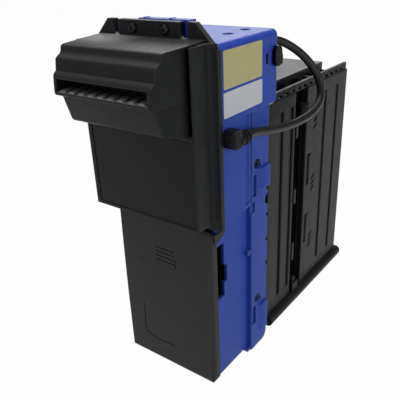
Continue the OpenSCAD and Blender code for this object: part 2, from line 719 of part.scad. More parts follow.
module turn_guide() {
    color("#3b3e42") put() along_x(-25.4, 25.4) {
        translate([drum_y, drum_z]) difference() {
            circle(r = 18);
            circle(r = 16.2);
            translate([-30, 0]) square([60, 30]);
        }
        translate([drum_y - 8, body_low + wall]) square([3, 4.2]);
        translate([drum_y + 5, wall]) square([3, 6.6]);
    }
}

module transport_motor() {
    color("#a6a9ad") put() {
        rod_x(-25.6, 6, drum_y, drum_z + motor_dist, 9.6);
        rod_x(6, 9, drum_y, drum_z + motor_dist, 4);
        rod_x(-26.6, -25.5, drum_y, drum_z + motor_dist, 3);
    }
}

module motor_cradle() {
    color("#3b3e42") put() difference() {
        block(-20, 2, 26.4, 37, drum_z + motor_dist - 7, drum_z + motor_dist + 12);
        rod_x(-30, 20, drum_y, drum_z + motor_dist, 9.6);
    }
}

module motor_pinion() {
    color("#b8924a") put() {
        translate([0, drum_y, drum_z + motor_dist]) along_x(-32.2, -27)
            gear_outline(pinion_teeth, 270 + 180 / pinion_teeth);
        rod_x(-36.8, -27, drum_y, drum_z + motor_dist, 1.5);
    }
}

// Flat belt loop between the drum's pulley and the inlet roller's pulley, which have one size.
module drive_belt() {
    dy = inlet_y - drum_y;
    dz = inlet_z - drum_z;
    run = sqrt(dy * dy + dz * dz);
    color("#232426") put() translate([0, drum_y, drum_z]) along_x(28, 32) rotate(atan2(dz, dy)) difference() {
        union() {
            circle(r = 6.3);
            translate([run, 0]) circle(r = 6.3);
            translate([0, -6.3]) square([run, 12.6]);
        }
        circle(r = 5.3);
        translate([run, 0]) circle(r = 5.3);
        translate([0, -5.3]) square([run, 10.6]);
    }
}

module inlet_roller() {
    color("#9ea2a6") put() {
        rod_x(-41, 41, inlet_y, inlet_z, 2.5);
        rod_x(27.8, 32.2, inlet_y, inlet_z, 5);
    }
}

module inlet_tyres() {
    color("#232426") put() for (x = [-18, 16]) difference() {
        rod_x(x - 5, x + 5, inlet_y, inlet_z, inlet_r);
        rod_x(x - 6, x + 6, inlet_y, inlet_z, 2.5);
    }
}

module inlet_idler() {
    color("#d8d8d2") put() {
        rod_x(-41, 41, inlet_y, idler_z, 1.8);
        for (x = [-18, 16]) rod_x(x - 5, x + 5, inlet_y, idler_z, idler_r);
    }
}

module inlet_cheek(x0, x1) {
    difference() {
        along_x(x0, x1) round_rect(5, 20, guide_top, slot_z + 10, 3);
        rod_x(x0 - 1, x1 + 1, inlet_y, inlet_z, 2.5 + fit);
        rod_x(x0 - 1, x1 + 1, inlet_y, idler_z, 1.8 + fit);
    }
}

module inlet_cheek_left() {
    color("#565a5f") put() inlet_cheek(-half_body + wall, -37.6);
}

module inlet_cheek_right() {
    color("#565a5f") put() inlet_cheek(37.6, half_body - wall);
}

module main_board() {
    color("#1e6b3c") put() {
        block(-33, 25, 15, 16.6, 52, 114);
        block(-20, -6, 12.4, 15.1, 84, 98);
        block(4, 14, 13, 15.1, 64, 74);
        block(-28, -22, 9.6, 15.1, 56, 74);
    }
}

module board_spacers() {
    color("#b8924a") put() for (x = [-29, 21], z = [56, 110]) rod_y(16.6, 24, x, z, 2.4);
}

module sensor_board() {
    color("#1e6b3c") put() {
        block(-26, 24, 20.8, 22.4, guide_top - 50, guide_top - 8);
        for (x = [-20, 18], z = [guide_top - 46, guide_top - 12]) rod_y(22.4, 24, x, z, 2.2);
        for (x = [-16, 0, 14]) block(x - 2, x + 2, 19.4, 20.9, guide_top - 36, guide_top - 32);
    }
}

module stacker_motor() {
    color("#a6a9ad") put() {
        rod_x(-5.6, 20, shaft_y, shaft_z - stack_dist, 7.4);
        rod_x(20, 22.4, shaft_y, shaft_z - stack_dist, 3);
    }
}

module stacker_cradle() {
    color("#3b3e42") put() difference() {
        block(-2, 16, 26.4, 40, shaft_z - stack_dist - 9, shaft_z - stack_dist + 2);
        rod_x(-10, 30, shaft_y, shaft_z - stack_dist, 7.4);
    }
}

module stacker_pinion() {
    color("#b8924a") put() {
        translate([0, shaft_y, shaft_z - stack_dist]) along_x(-11.6, -7)
            gear_outline(stack_pinion_teeth, 90 + 180 / stack_pinion_teeth);
        rod_x(-7.1, -5.9, shaft_y, shaft_z - stack_dist, 1.5);
    }
}

module stacker_shaft() {
    color("#d8d8d2") put() {
        rod_x(-25.8, 25.8, shaft_y, shaft_z, 2.5);
        translate([0, shaft_y, shaft_z]) along_x(-11.8, -6.8) gear_outline(stack_teeth, 270);
        both_sides() translate([0, shaft_y, shaft_z]) along_x(17.6, 22.4) gear_outline(rack_teeth, 90);
    }
}

module stacker_bracket(x0, x1) {
    difference() {
        along_x(x0, x1) translate([0, shaft_z])
            polygon([[26.4, -12], [shaft_y + 2, -6], [shaft_y + 5, -2], [shaft_y + 5, 2], [shaft_y + 2, 5.5], [26.4, 12]]);
        rod_x(x0 - 1, x1 + 1, shaft_y, shaft_z, 2.5 + fit);
    }
}

module stacker_bracket_left() {
    color("#565a5f") put() stacker_bracket(-26, -23.4);
}

module stacker_bracket_right() {
    color("#565a5f") put() stacker_bracket(23.4, 26);
}

// Rack teeth hang below the bar and mesh with the pinion under them.
module rack_outline() {
    m = gear_module;
    line = shaft_z + m * rack_teeth / 2;
    p = PI * m;
    w = (p / 2 - backlash) / 2;
    lean = tan(pressure_angle);
    translate([27.2, line + tooth_in * m]) square([pusher_y - 27, 4.4]);
    for (k = [-5:2]) translate([shaft_y + p * (k + 0.5), line])
        polygon([[-w - tooth_in * m * lean - 0.05, tooth_in * m + 0.1], [-w + tooth_out * m * lean, -tooth_out * m],
                 [w - tooth_out * m * lean, -tooth_out * m], [w + tooth_in * m * lean + 0.05, tooth_in * m + 0.1]]);
}

module pusher_plate() {
    color("#4a4d52") put() {
        difference() {
            block(-29, 29, pusher_y, pusher_y + 2.4, window_low + 24, window_high - 6);
            for (x = [-12, 12]) block(x - 5, x + 5, pusher_y - 1, pusher_y + 4, window_low + 34, window_low + 60);
            for (x = [-12, 12]) block(x - 5, x + 5, pusher_y - 1, pusher_y + 4, window_high - 40, window_high - 14);
            // Room for the stacker gear
            block(-14, -4.6, pusher_y - 1, pusher_y + 4, shaft_z - gear_module * stack_teeth / 2 - 4,
                  shaft_z + gear_module * stack_teeth / 2 + 4);
        }
        both_sides() along_x(18, 22) rack_outline();
    }
}

// Upright grooves in a cash box panel.
module panel_grooves(list) {
    both_sides() for (y = list) block(half_stack - 1.8, half_stack + 1, y - 1.4, y + 1.4,
                                      stack_bottom + 11, stack_top - 9);
}

module stack_front() {
    t = 2.6;
    color("#232427") put() difference() {
        union() {
            both_sides() {
                block(half_stack - t, half_stack, 61.3, 98.4, stack_bottom, stack_top);
                // Step into the channel and the front half of its floor
                block(half_stack - 7.2, half_stack, 96, 98.4, stack_bottom, stack_top);
                block(half_stack - 7.2, half_stack - 5, 96, 108, stack_bottom, stack_top);
                // Hooks in the channel
                for (z = [[stack_top - 35, 10], [stack_bottom + 80, 12], [stack_bottom + 29, 16]])
                    block(half_stack - 5.1, half_stack - 1, 103, 106, z[0], z[0] + z[1]);
                // Small ribs in the seam to the validator
                for (z = seam_marks) block(half_stack - 2.6, half_stack - 0.6, 60.6, 61.4, z + 0.5, z + 2.5);
            }
            block(-half_stack + 1, half_stack - 1, 61.3, 63.8, stack_bottom, stack_top);
        }
        // Bill window with its two lips
        block(-31.5, 31.5, 60, 65, window_low, window_high);
        panel_grooves([79, 93.6]);
    }
}

module stack_rear() {
    t = 2.6;
    color("#232427") put() difference() {
        union() {
            both_sides() {
                block(half_stack - 7.2, half_stack - 5, 108, 119.6, stack_bottom, stack_top);
                block(half_stack - 7.2, half_stack, 117.2, 119.6, stack_bottom, stack_top);
                block(half_stack - t, half_stack, 117.2, stack_back, stack_bottom, stack_top);
                // Ribbed bump at the channel's head
                translate([half_stack - 2.4, 115.4, stack_top - 22.6]) cylinder(h = 11.6, r = 3.9);
                for (i = [0:3]) translate([half_stack - 2.4, 115.4, stack_top - 22 + i * 2.8]) cylinder(h = 1.7, r = 4.5);
            }
            block(-half_stack + 1, half_stack - 1, stack_back - t, stack_back, stack_bottom, stack_top - 9);
        }
        panel_grooves([148, 170]);
        both_sides() {
            // Slits of the snap tongues, and short slanted dashes beside them
            for (z = [stack_bottom + 37, stack_bottom + 89]) {
                block(half_stack - 4, half_stack + 1, 121.4, 123.4, z, z + 26);
                block(half_stack - 4, half_stack + 1, 121.4, 127, z + 24.4, z + 26);
            }
            for (z = [stack_bottom + 29, stack_bottom + 81, stack_top - 35], i = [0:2])
                translate([half_stack - 1, 130, z + i * 5]) rotate([28, 0, 0]) cube([2, 5.2, 2]);
            // Blind holes of the lid pins
            rod_x(half_stack - 4, half_stack - 1, lid_y, lid_z, screw_r + fit);
        }
    }
}

// Base plate with a rounded rim that stands out at both sides and at the back.
module stack_base() {
    r = base_h / 2;
    x = base_w / 2 - r;
    low = stack_bottom - base_h;
    color("#2a2b2e") put() {
        block(-x, x, 63, base_back - r, low, stack_bottom);
        both_sides() rod_y(63, base_back - r, x, low + r, r);
        rod_x(-x, x, base_back - r, low + r, r);
        for (s = [-1, 1]) translate([s * x, base_back - r, low + r]) sphere(r = r);
        // Latch blocks at the channel's foot
        both_sides() {
            block(half_stack - 4.9, half_stack + 1, 103, 112, stack_bottom - 0.2, stack_bottom + 7);
            block(half_stack - 4.9, half_stack - 0.6, 105, 110, stack_bottom + 6.9, stack_bottom + 11);
        }
    }
}

// Rails that stand on the panels' top edges, with a row of small windows along their feet.
module stack_rails() {
    color("#1f2023") put() both_sides() difference() {
        block(half_stack - 3, half_stack - 0.8, upper_depth + 4.4, stack_back - 1, stack_top, stack_top + rail_h);
        for (y = [upper_depth + 8:9:stack_back - 8])
            block(half_stack - 4, half_stack, y, y + 5, stack_top + 0.8, stack_top + 2.8);
    }
}

// Lid: a raised plate with side walls, cross bars to two side strips, and two hinge barrels.
module stack_lid() {
    front = upper_depth + 5;
    color("#6d7075") put() difference() {
        union() {
            block(-lid_half, lid_half, front, lid_y - 2, lid_top - 2, lid_top);
            both_sides() {
                block(17, 19, front, lid_y - 2, lid_low, lid_top);
                block(33, 35, front, lid_y - 2, lid_low, lid_low + 2.4);
                for (i = [0:4]) block(18, 34, front + 2 + i * 22, front + 3.6 + i * 22, lid_low, lid_low + 2.4);
                block(18, 36.6, lid_y - 4, lid_y - 2, lid_low, lid_low + 2.4);
                // Hinge arms and barrels
                block(31, 36.6, lid_y - 3, lid_y + 1, lid_z - 1, lid_low + 2.4);
                rod_x(31, 36.6, lid_y, lid_z, 3.2);
                // Corner block at the plate's rear end
                block(lid_half - 5.4, lid_half, lid_y - 8, lid_y - 2, lid_low, lid_top);
            }
        }
        rod_x(-60, 60, lid_y, lid_z, screw_r + fit);
    }
}

module lid_pins() {
    color("#8d9196") put() both_sides() rod_x(31.4, half_stack - 1.2, lid_y, lid_z, screw_r);
}

module pressure_plate() {
    color("#4a4d52") put() {
        block(-35.2, 35.2, plate_y, plate_y + 2, plate_low, plate_high);
        for (z = spring_at) difference() {
            rod_y(plate_y + 1.9, plate_y + 6, 0, z, 17.5);
            rod_y(plate_y + 1, plate_y + 7, 0, z, 16);
        }
    }
}

// Two wire coils between the pressure plate and the back wall.
spring_turns = 7;
spring_r = 14;
spring_wire = 1.6;
spring_start = plate_y + 3;
spring_end = stack_back - 2.6 - 1;
function spring_path(z) = [for (i = [0:spring_turns * 12])
    [spring_r * cos(i * 30), spring_start + (spring_end - spring_start) * i / (spring_turns * 12), z + spring_r * sin(i * 30)]];
one_turn = spring_path(spring_at[0]);
echo("least gap of a spring to itself, mm",
     min([for (i = [0:11], k = [8:16]) norm(one_turn[i + k] - one_turn[i])]) - spring_wire);
module pressure_springs() {
    color("#b4b7ba") put() for (z = spring_at) tube_along(spring_path(z), spring_wire / 2, 6, [0, 1, 0]);
}

bezel_mask();
inlet_guide();
front_panel();
bezel_screws();
main_housing();
rear_frame();
frame_screws();
front_cover();
cover_pins();
release_lever();
lever_pin();
plug_socket();
cable_gland();
cable();
cable_plug();
inner_guide();
side_plate_left();
side_plate_right();
turn_drum();
drum_tyres();
turn_guide();
transport_motor();
motor_cradle();
motor_pinion();
drive_belt();
inlet_roller();
inlet_tyres();
inlet_idler();
inlet_cheek_left();
inlet_cheek_right();
main_board();
board_spacers();
sensor_board();
stacker_motor();
stacker_cradle();
stacker_pinion();
stacker_shaft();
stacker_bracket_left();
stacker_bracket_right();
pusher_plate();
stack_front();
stack_rear();
stack_base();
stack_rails();
stack_lid();
lid_pins();
pressure_plate();
pressure_springs();
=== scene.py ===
import math

import bpy
from mathutils import Matrix, Vector


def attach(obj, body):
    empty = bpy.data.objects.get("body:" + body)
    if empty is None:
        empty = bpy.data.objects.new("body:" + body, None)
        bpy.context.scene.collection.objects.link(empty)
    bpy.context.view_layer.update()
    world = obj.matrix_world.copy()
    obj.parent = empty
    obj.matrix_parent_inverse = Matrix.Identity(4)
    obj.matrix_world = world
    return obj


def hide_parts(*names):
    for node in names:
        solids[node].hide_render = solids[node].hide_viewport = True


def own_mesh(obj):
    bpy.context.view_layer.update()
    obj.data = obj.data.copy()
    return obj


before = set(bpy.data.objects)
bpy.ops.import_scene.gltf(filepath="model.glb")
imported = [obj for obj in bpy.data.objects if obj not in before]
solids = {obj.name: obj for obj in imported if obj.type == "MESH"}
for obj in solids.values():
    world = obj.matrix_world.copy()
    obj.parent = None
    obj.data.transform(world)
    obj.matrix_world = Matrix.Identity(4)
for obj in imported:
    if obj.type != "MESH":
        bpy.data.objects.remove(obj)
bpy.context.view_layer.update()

bpy.ops.object.select_all(action="DESELECT")

# View
# The camera stands in front of the bill acceptor, to its right and above it,
# with a normal lens, and leans a little, as the photograph was taken.
turn = math.radians(37.59)
rise = math.radians(25.29)
lean = math.radians(-2.56)
camera_place = (0.2086, -0.3073, 0.2794)
look = Vector((-math.sin(turn) * math.cos(rise), math.cos(turn) * math.cos(rise), -math.sin(rise)))
side = look.cross(Vector((0, 0, 1))).normalized()
over = side.cross(look)
camera_x = side * math.cos(lean) + over * math.sin(lean)
camera_y = over * math.cos(lean) - side * math.sin(lean)
bpy.ops.object.camera_add()
camera = bpy.context.object
camera.name = "photo_camera"
camera.data.lens = 47.67
camera.data.sensor_width = 36
camera.data.clip_start = 0.01
axes = Matrix((camera_x, camera_y, -look)).transposed()
camera.matrix_world = Matrix.Translation(camera_place) @ axes.to_4x4()
bpy.context.scene.camera = camera
bpy.context.scene.view_settings.view_transform = "Standard"


# Stage and light
# A pale studio floor of matt paper under a large overhead softbox, a back softbox,
# a front fill and a side fill, so that top faces are bright and upright ones calm.
def linear(code):
    """An sRGB hex colour as linear red, green, blue and full alpha."""
    parts = [int(code[i:i + 2], 16) / 255 for i in (1, 3, 5)]
    return tuple(p / 12.92 if p <= 0.04045 else ((p + 0.055) / 1.055) ** 2.4 for p in parts) + (1.0,)


def add_node(tree, kind, settings, links):
    """Adds one shader node, sets its values and joins its inputs."""
    made = tree.nodes.new(kind)
    for key, value in settings.items():
        if isinstance(key, int) or key in made.inputs:
            made.inputs[key].default_value = value
        else:
            setattr(made, key, value)
    for key, source in links.items():
        tree.links.new(source, made.inputs[key])
    return made


# Matt paper: seen as plain white, with only a trace of the shadow that falls on it.
white_share = 0.98
paper = bpy.data.materials.new("matt_studio_paper")
paper.use_nodes = True
tree = paper.node_tree
tree.nodes.clear()
ray = add_node(tree, "ShaderNodeLightPath", {}, {})
seen = add_node(tree, "ShaderNodeMath", {"operation": "MAXIMUM"},
                {0: ray.outputs["Is Camera Ray"], 1: ray.outputs["Is Glossy Ray"]})
share = add_node(tree, "ShaderNodeMath", {"operation": "MULTIPLY", 1: white_share}, {0: seen.outputs[0]})
matt = add_node(tree, "ShaderNodeBsdfDiffuse", {"Color": linear("#b0b0b0")}, {})
glow = add_node(tree, "ShaderNodeEmission", {"Color": (1, 1, 1, 1), "Strength": 1.0}, {})
both = add_node(tree, "ShaderNodeMixShader", {},
                {0: share.outputs[0], 1: matt.outputs[0], 2: glow.outputs[0]})
add_node(tree, "ShaderNodeOutputMaterial", {}, {"Surface": both.outputs[0]})
floor_z = -0.0002
bpy.ops.mesh.primitive_plane_add(size=8, location=(0, 0, floor_z))
floor = bpy.context.object
floor.name = "studio_floor"
floor.data.materials.append(paper)

# Room: plain white where it is seen, and a dim fill as a light.
room_fill = 0.22
room = bpy.data.worlds.new("studio_room")
room.use_nodes = True
bpy.context.scene.world = room
tree = room.node_tree
tree.nodes.clear()
ray = add_node(tree, "ShaderNodeLightPath", {}, {})
seen = add_node(tree, "ShaderNodeMath", {"operation": "MAXIMUM"},
                {0: ray.outputs["Is Camera Ray"], 1: ray.outputs["Is Transmission Ray"]})
level = add_node(tree, "ShaderNodeMapRange", {"To Min": room_fill, "To Max": 1.0},
                 {"Value": seen.outputs[0]})
air = add_node(tree, "ShaderNodeBackground", {"Color": (1, 1, 1, 1)}, {"Strength": level.outputs[0]})
add_node(tree, "ShaderNodeOutputWorld", {}, {"Surface": air.outputs[0]})

# Lamps: name, place, width and watts, all aimed at the middle of the object.
object_middle = Vector((0, 0, 0.12))
for name, place, width, watts in (("overhead_softbox", (-0.1, 0.1, 1.35), 1.2, 11.0),
                                  ("back_softbox", (-0.75, 1.25, 0.95), 0.9, 9.0),
                                  ("front_fill", (-0.3, -1.4, 0.5), 0.9, 4.0),
                                  ("side_fill", (1.3, -0.1, 0.45), 0.9, 5.2)):
    bpy.ops.object.light_add(type="AREA", location=place)
    lamp = bpy.context.object
    lamp.name = name
    lamp.data.size = width
    lamp.data.energy = watts
    aim = object_middle - Vector(place)
    lamp.rotation_euler = aim.to_track_quat("-Z", "Y").to_euler()
bpy.ops.object.select_all(action="DESELECT")


# Lead
# A round PVC-jacketed lead that leaves the bushing behind the upper block, loops
# down outside the cash box and ends in its right-angle plug. Extruded, satin.
def spot(x, y, z):
    """A place in metres from millimetres, with y from the flange's face and z from the body's foot."""
    return Vector((x, y - 76, z + 2)) / 1000


def moulded(name, pale, deep, rough, spread, grain_mm, grain, shine, dust_and_sheen=0.0, wear=0.06, roll_mm=0.0):
    """A plastic skin: two near shades in clouds, dust with a painted sheen on top, rubbed edges, spots of
    gloss and a grain.

    The grain is coarser than real, so that it shows, and roll_mm rounds the edges in the shading.
    """
    cloud_mm = 34
    speck_mm = 5
    edge_mm = 0.8
    grain_depth = 0.0002
    made = bpy.data.materials.new(name)
    made.use_nodes = True
    tree = made.node_tree
    tree.nodes.clear()
    where = add_node(tree, "ShaderNodeTexCoord", {}, {})
    cloud = add_node(tree, "ShaderNodeTexNoise", {"Scale": 1000 / cloud_mm, "Detail": 3.0},
                     {"Vector": where.outputs["Object"]})
    tone = add_node(tree, "ShaderNodeMix", {"data_type": "RGBA", 6: linear(deep), 7: linear(pale)},
                    {0: cloud.outputs["Fac"]})
    # Dust and painted sheen: faces that look up get a pale film, part dust and part a painted sheen of the
    # light from above.
    faces_up = add_node(tree, "ShaderNodeSeparateXYZ", {}, {0: where.outputs["Normal"]})
    film = add_node(tree, "ShaderNodeMapRange",
                    {"From Min": 0.1, "From Max": 0.85, "To Min": 0.0, "To Max": dust_and_sheen},
                    {"Value": faces_up.outputs["Z"]})
    dust_sheen_tone = add_node(tree, "ShaderNodeMix", {"data_type": "RGBA", 7: linear("#8c8b88")},
                     {0: film.outputs[0], 6: tone.outputs[2]})
    speck = add_node(tree, "ShaderNodeTexNoise", {"Scale": 1000 / speck_mm, "Detail": 4.0},
                     {"Vector": where.outputs["Object"]})
    gloss = add_node(tree, "ShaderNodeMapRange",
                     {"From Min": 0.3, "From Max": 0.7, "To Min": rough - spread, "To Max": rough + spread},
                     {"Value": speck.outputs["Fac"]})
    rim = add_node(tree, "ShaderNodeAmbientOcclusion",
                   {"samples": 6, "inside": True, "only_local": True, "Distance": edge_mm / 1000}, {})
    pale_share = add_node(tree, "ShaderNodeMapRange",
                      {"From Min": 0.95, "From Max": 0.55, "To Min": 0.0, "To Max": wear},
                      {"Value": rim.outputs["AO"]})
    broken = add_node(tree, "ShaderNodeMapRange", {"From Min": 0.3, "From Max": 0.6, "To Min": 0.3},
                      {"Value": speck.outputs["Fac"]})
    scuff = add_node(tree, "ShaderNodeMath", {"operation": "MULTIPLY"},
                     {0: pale_share.outputs[0], 1: broken.outputs[0]})
    shown = add_node(tree, "ShaderNodeMix", {"data_type": "RGBA", 7: linear("#c3c6cc")},
                     {0: scuff.outputs[0], 6: dust_sheen_tone.outputs[2]})
    pit = add_node(tree, "ShaderNodeTexNoise", {"Scale": 1000 / grain_mm, "Detail": 2.0},
                   {"Vector": where.outputs["Object"]})
    rolled = add_node(tree, "ShaderNodeBevel", {"samples": 6, "Radius": roll_mm / 1000}, {})
    relief = add_node(tree, "ShaderNodeBump", {"Strength": grain, "Distance": grain_depth},
                      {"Height": pit.outputs["Fac"], "Normal": rolled.outputs[0]})
    skin = add_node(tree, "ShaderNodeBsdfPrincipled", {"IOR": 1.52, "Specular IOR Level": shine},
                    {"Base Color": shown.outputs[2], "Roughness": gloss.outputs[0],
                     "Normal": relief.outputs[0]})
    add_node(tree, "ShaderNodeOutputMaterial", {}, {"Surface": skin.outputs[0]})
    return made


def finish(names, material):
    """Gives CAD nodes their material."""
    for name in names:
        solids[name].data.materials.clear()
        solids[name].data.materials.append(material)


# The route is a smooth curve through its stops, listed from the plug to the bushing.
lead_diameter = 0.0056
lead_steps = 6
lead_stops = [(49, 24.5, 176.3), (49, 29.4, 176.3), (49.1, 34.4, 175.9), (49.8, 42.5, 174.3),
              (51.1, 54.5, 172.5), (52.8, 69.3, 171.1), (54.5, 84.9, 171.1), (55.7, 99, 173.3),
              (55.7, 109.3, 178.4), (53.9, 114.5, 186), (50.2, 114.6, 195.3), (45.1, 110.3, 204.9),
              (39.5, 103, 213.1), (33.6, 94.6, 219.2), (29.4, 86.4, 221.7), (28, 79, 222),
              (28, 74.2, 222), (28, 69.4, 222)]
lead_stops = [spot(*stop) for stop in lead_stops]
lead_line = []
for i in range(len(lead_stops) - 1):
    a = lead_stops[max(i - 1, 0)]
    b = lead_stops[i]
    c = lead_stops[i + 1]
    d = lead_stops[min(i + 2, len(lead_stops) - 1)]
    for k in range(lead_steps):
        t = k / lead_steps
        square = (2 * a - 5 * b + 4 * c - d) * t ** 2
        cube = (3 * b - a - 3 * c + d) * t ** 3
        lead_line.append((2 * b + (c - a) * t + square + cube) / 2)
lead_line.append(lead_stops[-1])
lead_line.reverse()
lead_curve = bpy.data.curves.new("lead", "CURVE")
lead_curve.dimensions = "3D"
lead_curve.bevel_depth = lead_diameter / 2
lead_curve.bevel_resolution = 6
lead_curve.use_fill_caps = True
strand = lead_curve.splines.new("POLY")
strand.points.add(len(lead_line) - 1)
for at, point in zip(strand.points, lead_line):
    at.co = (*point, 1)
strand.use_smooth = True
lead = bpy.data.objects.new("lead", lead_curve)
bpy.context.collection.objects.link(lead)
# PVC jacket: near black and satin, with a soft line of light along its length.
jacket = moulded("pvc_jacket_black", "#1c1d1f", "#151618", 0.34, 0.05, 2.4, 0.10, 0.24)
lead_curve.materials.append(jacket)
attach(lead, "validator")
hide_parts("cable")

# Plug, socket and bushing
# The plug is overmoulded on the lead in soft black PVC with a matt skin; its socket
# and the bushing in the rear wall are small mouldings of the same.
overmould = moulded("pvc_overmould_black", "#15161a", "#0f1013", 0.48, 0.06, 1.4, 0.16, 0.1)
finish(["cable_plug", "cable_gland", "plug_socket"], overmould)


# Blue body
# The validator's housing and its rear frame, two thin-walled shells moulded in
# royal blue ABS with a fine spark-eroded grain and small rounded edges.
def soften(names, width):
    """Rounds the sharp edges of CAD nodes by a small width, as a moulding has them."""
    for name in names:
        piece = solids[name]
        weld = piece.modifiers.new("joined", "WELD")
        weld.merge_threshold = 0.000004
        planes = piece.modifiers.new("planes", "DECIMATE")
        planes.decimate_type = "DISSOLVE"
        planes.angle_limit = math.radians(0.2)
        edge = piece.modifiers.new("edges", "BEVEL")
        edge.width = width
        edge.segments = 3
        edge.limit_method = "ANGLE"
        edge.angle_limit = math.radians(38)
        edge.use_clamp_overlap = True
        shade = piece.modifiers.new("shade", "WEIGHTED_NORMAL")
        shade.mode = "FACE_AREA"
        shade.weight = 90


soften(["cable_plug"], 0.0003)
# Blue ABS: an even, strong blue, calm on the sides and paler where edges are rubbed.
blue = moulded("blue_abs_moulded", "#304fb4", "#2945a7", 0.4, 0.05, 1.6, 0.08, 0.11, wear=0.2, roll_mm=0.8)
finish(["main_housing", "rear_frame"], blue)
soften(["main_housing", "rear_frame"], 0.0007)


# Side plates
# Two bare plates of label stock on the upper block's right side: a khaki metallised
# film above and white vinyl below, die-cut with round corners and pressed on.
def label_film(name, pale, deep, rough, shine):
    """Label stock: a coated face with faint rolled streaks along Y, wider than real, and handled gloss."""
    streak_mm = 1.2
    handled_mm = 9
    made = bpy.data.materials.new(name)
    made.use_nodes = True
    tree = made.node_tree
    tree.nodes.clear()
    where = add_node(tree, "ShaderNodeTexCoord", {}, {})
    lie = add_node(tree, "ShaderNodeMapping", {"Scale": (1, 0.12, 1)}, {"Vector": where.outputs["Object"]})
    streak = add_node(tree, "ShaderNodeTexNoise", {"Scale": 1000 / streak_mm, "Detail": 3.0},
                      {"Vector": lie.outputs[0]})
    tone = add_node(tree, "ShaderNodeMix", {"data_type": "RGBA", 6: linear(deep), 7: linear(pale)},
                    {0: streak.outputs["Fac"]})
    handled = add_node(tree, "ShaderNodeTexNoise", {"Scale": 1000 / handled_mm, "Detail": 4.0},
                       {"Vector": where.outputs["Object"]})
    gloss = add_node(tree, "ShaderNodeMapRange",
                     {"From Min": 0.3, "From Max": 0.7, "To Min": rough - 0.06, "To Max": rough + 0.08},
                     {"Value": handled.outputs["Fac"]})
    skin = add_node(tree, "ShaderNodeBsdfPrincipled", {"IOR": 1.5, "Specular IOR Level": shine},
                    {"Base Color": tone.outputs[2], "Roughness": gloss.outputs[0]})
    add_node(tree, "ShaderNodeOutputMaterial", {}, {"Surface": skin.outputs[0]})
    return made


# Khaki film: dull gold and a little streaky. White vinyl: cool, clean and half matt.
khaki = label_film("khaki_metallised_film", "#c4bc85", "#b8b079", 0.4, 0.4)
white = label_film("white_vinyl_film", "#d5d8de", "#cbced4", 0.42, 0.3)
block_side_x = 44.5
plate_corner = 0.0012
plate_thick = 0.00018
for name, y0, y1, z0, z1, stock in (("khaki_plate", 7.6, 48.8, 206.6, 227.9, khaki),
                                    ("white_plate", 7.2, 49.2, 190.2, 205.0, white)):
    bpy.ops.object.select_all(action="DESELECT")
    plate_middle = spot(block_side_x, (y0 + y1) / 2, (z0 + z1) / 2)
    bpy.ops.mesh.primitive_plane_add(size=0.001, location=plate_middle, rotation=(0, math.pi / 2, 0))
    plate = bpy.context.object
    plate.name = name
    plate.scale = (z1 - z0, y1 - y0, 1)
    bpy.ops.object.transform_apply(location=True, rotation=True, scale=True)
    bpy.ops.object.mode_set(mode="EDIT")
    bpy.ops.mesh.select_all(action="SELECT")
    bpy.ops.mesh.bevel(offset=plate_corner, segments=5, affect="VERTICES")
    bpy.ops.object.mode_set(mode="OBJECT")
    film = plate.modifiers.new("film", "SOLIDIFY")
    film.thickness = plate_thick
    film.offset = 1
    bpy.ops.object.modifier_apply(modifier="film")
    plate.data.materials.append(stock)
    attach(plate, "validator")


# Bezel
# Front mask and let-in front panel, moulded in black glass-filled ABS with a satin
# grain, a film of dust and painted sheen on top and a painted highlight on the nose's top,
# and the lower lip of acetal, with a painted highlight along its front.
def cover_over(material, share, code, shine):
    """Lays another colour and shine over a material's own, as far as a share says."""
    tree = material.node_tree
    skin = next(node for node in tree.nodes if node.type == "BSDF_PRINCIPLED")
    base = skin.inputs["Base Color"]
    laid = add_node(tree, "ShaderNodeMix", {"data_type": "RGBA", 7: linear(code)},
                    {0: share, 6: base.links[0].from_socket})
    tree.links.new(laid.outputs[2], base)
    gleam = skin.inputs["Specular IOR Level"]
    own = {2: gleam.links[0].from_socket} if gleam.is_linked else {}
    dulled = add_node(tree, "ShaderNodeMix", {2: gleam.default_value, 3: shine}, {0: share, **own})
    tree.links.new(dulled.outputs[0], gleam)


def soft_band(tree, along, middle, full_mm, none_mm, most=1.0):
    """A share that is most within full_mm of a middle and falls to nothing at none_mm from it."""
    offset = add_node(tree, "ShaderNodeMath", {"operation": "SUBTRACT", 1: middle}, {0: along})
    apart = add_node(tree, "ShaderNodeMath", {"operation": "ABSOLUTE"}, {0: offset.outputs[0]})
    return add_node(tree, "ShaderNodeMapRange",
                    {"From Min": none_mm / 1000, "From Max": full_mm / 1000, "To Max": most},
                    {"Value": apart.outputs[0]})


# Black ABS: soft, dark and grained, with dust and a painted sheen on its up-facing faces. A pale, shinier
# spot lies at the foot of each notch.
black = moulded("black_abs_grained", "#1a1c1e", "#141618", 0.44, 0.05, 1.2, 0.10, 0.12, 0.14, roll_mm=1.4)
notch_foot = spot(25, 0.8, 234.6)
pale_core = 0.0015
pale_end = 0.0026
tree = black.node_tree
where = add_node(tree, "ShaderNodeTexCoord", {}, {})
mirrored = add_node(tree, "ShaderNodeVectorMath", {"operation": "ABSOLUTE"}, {0: where.outputs["Object"]})
from_foot = add_node(tree, "ShaderNodeVectorMath",
                     {"operation": "DISTANCE", 1: [abs(v) for v in notch_foot]}, {0: mirrored.outputs[0]})
pale_share = add_node(tree, "ShaderNodeMapRange", {"From Min": pale_end, "From Max": pale_core, "To Max": 0.8},
                  {"Value": from_foot.outputs["Value"]})
cover_over(black, pale_share.outputs[0], "#b2b1aa", 0.3)
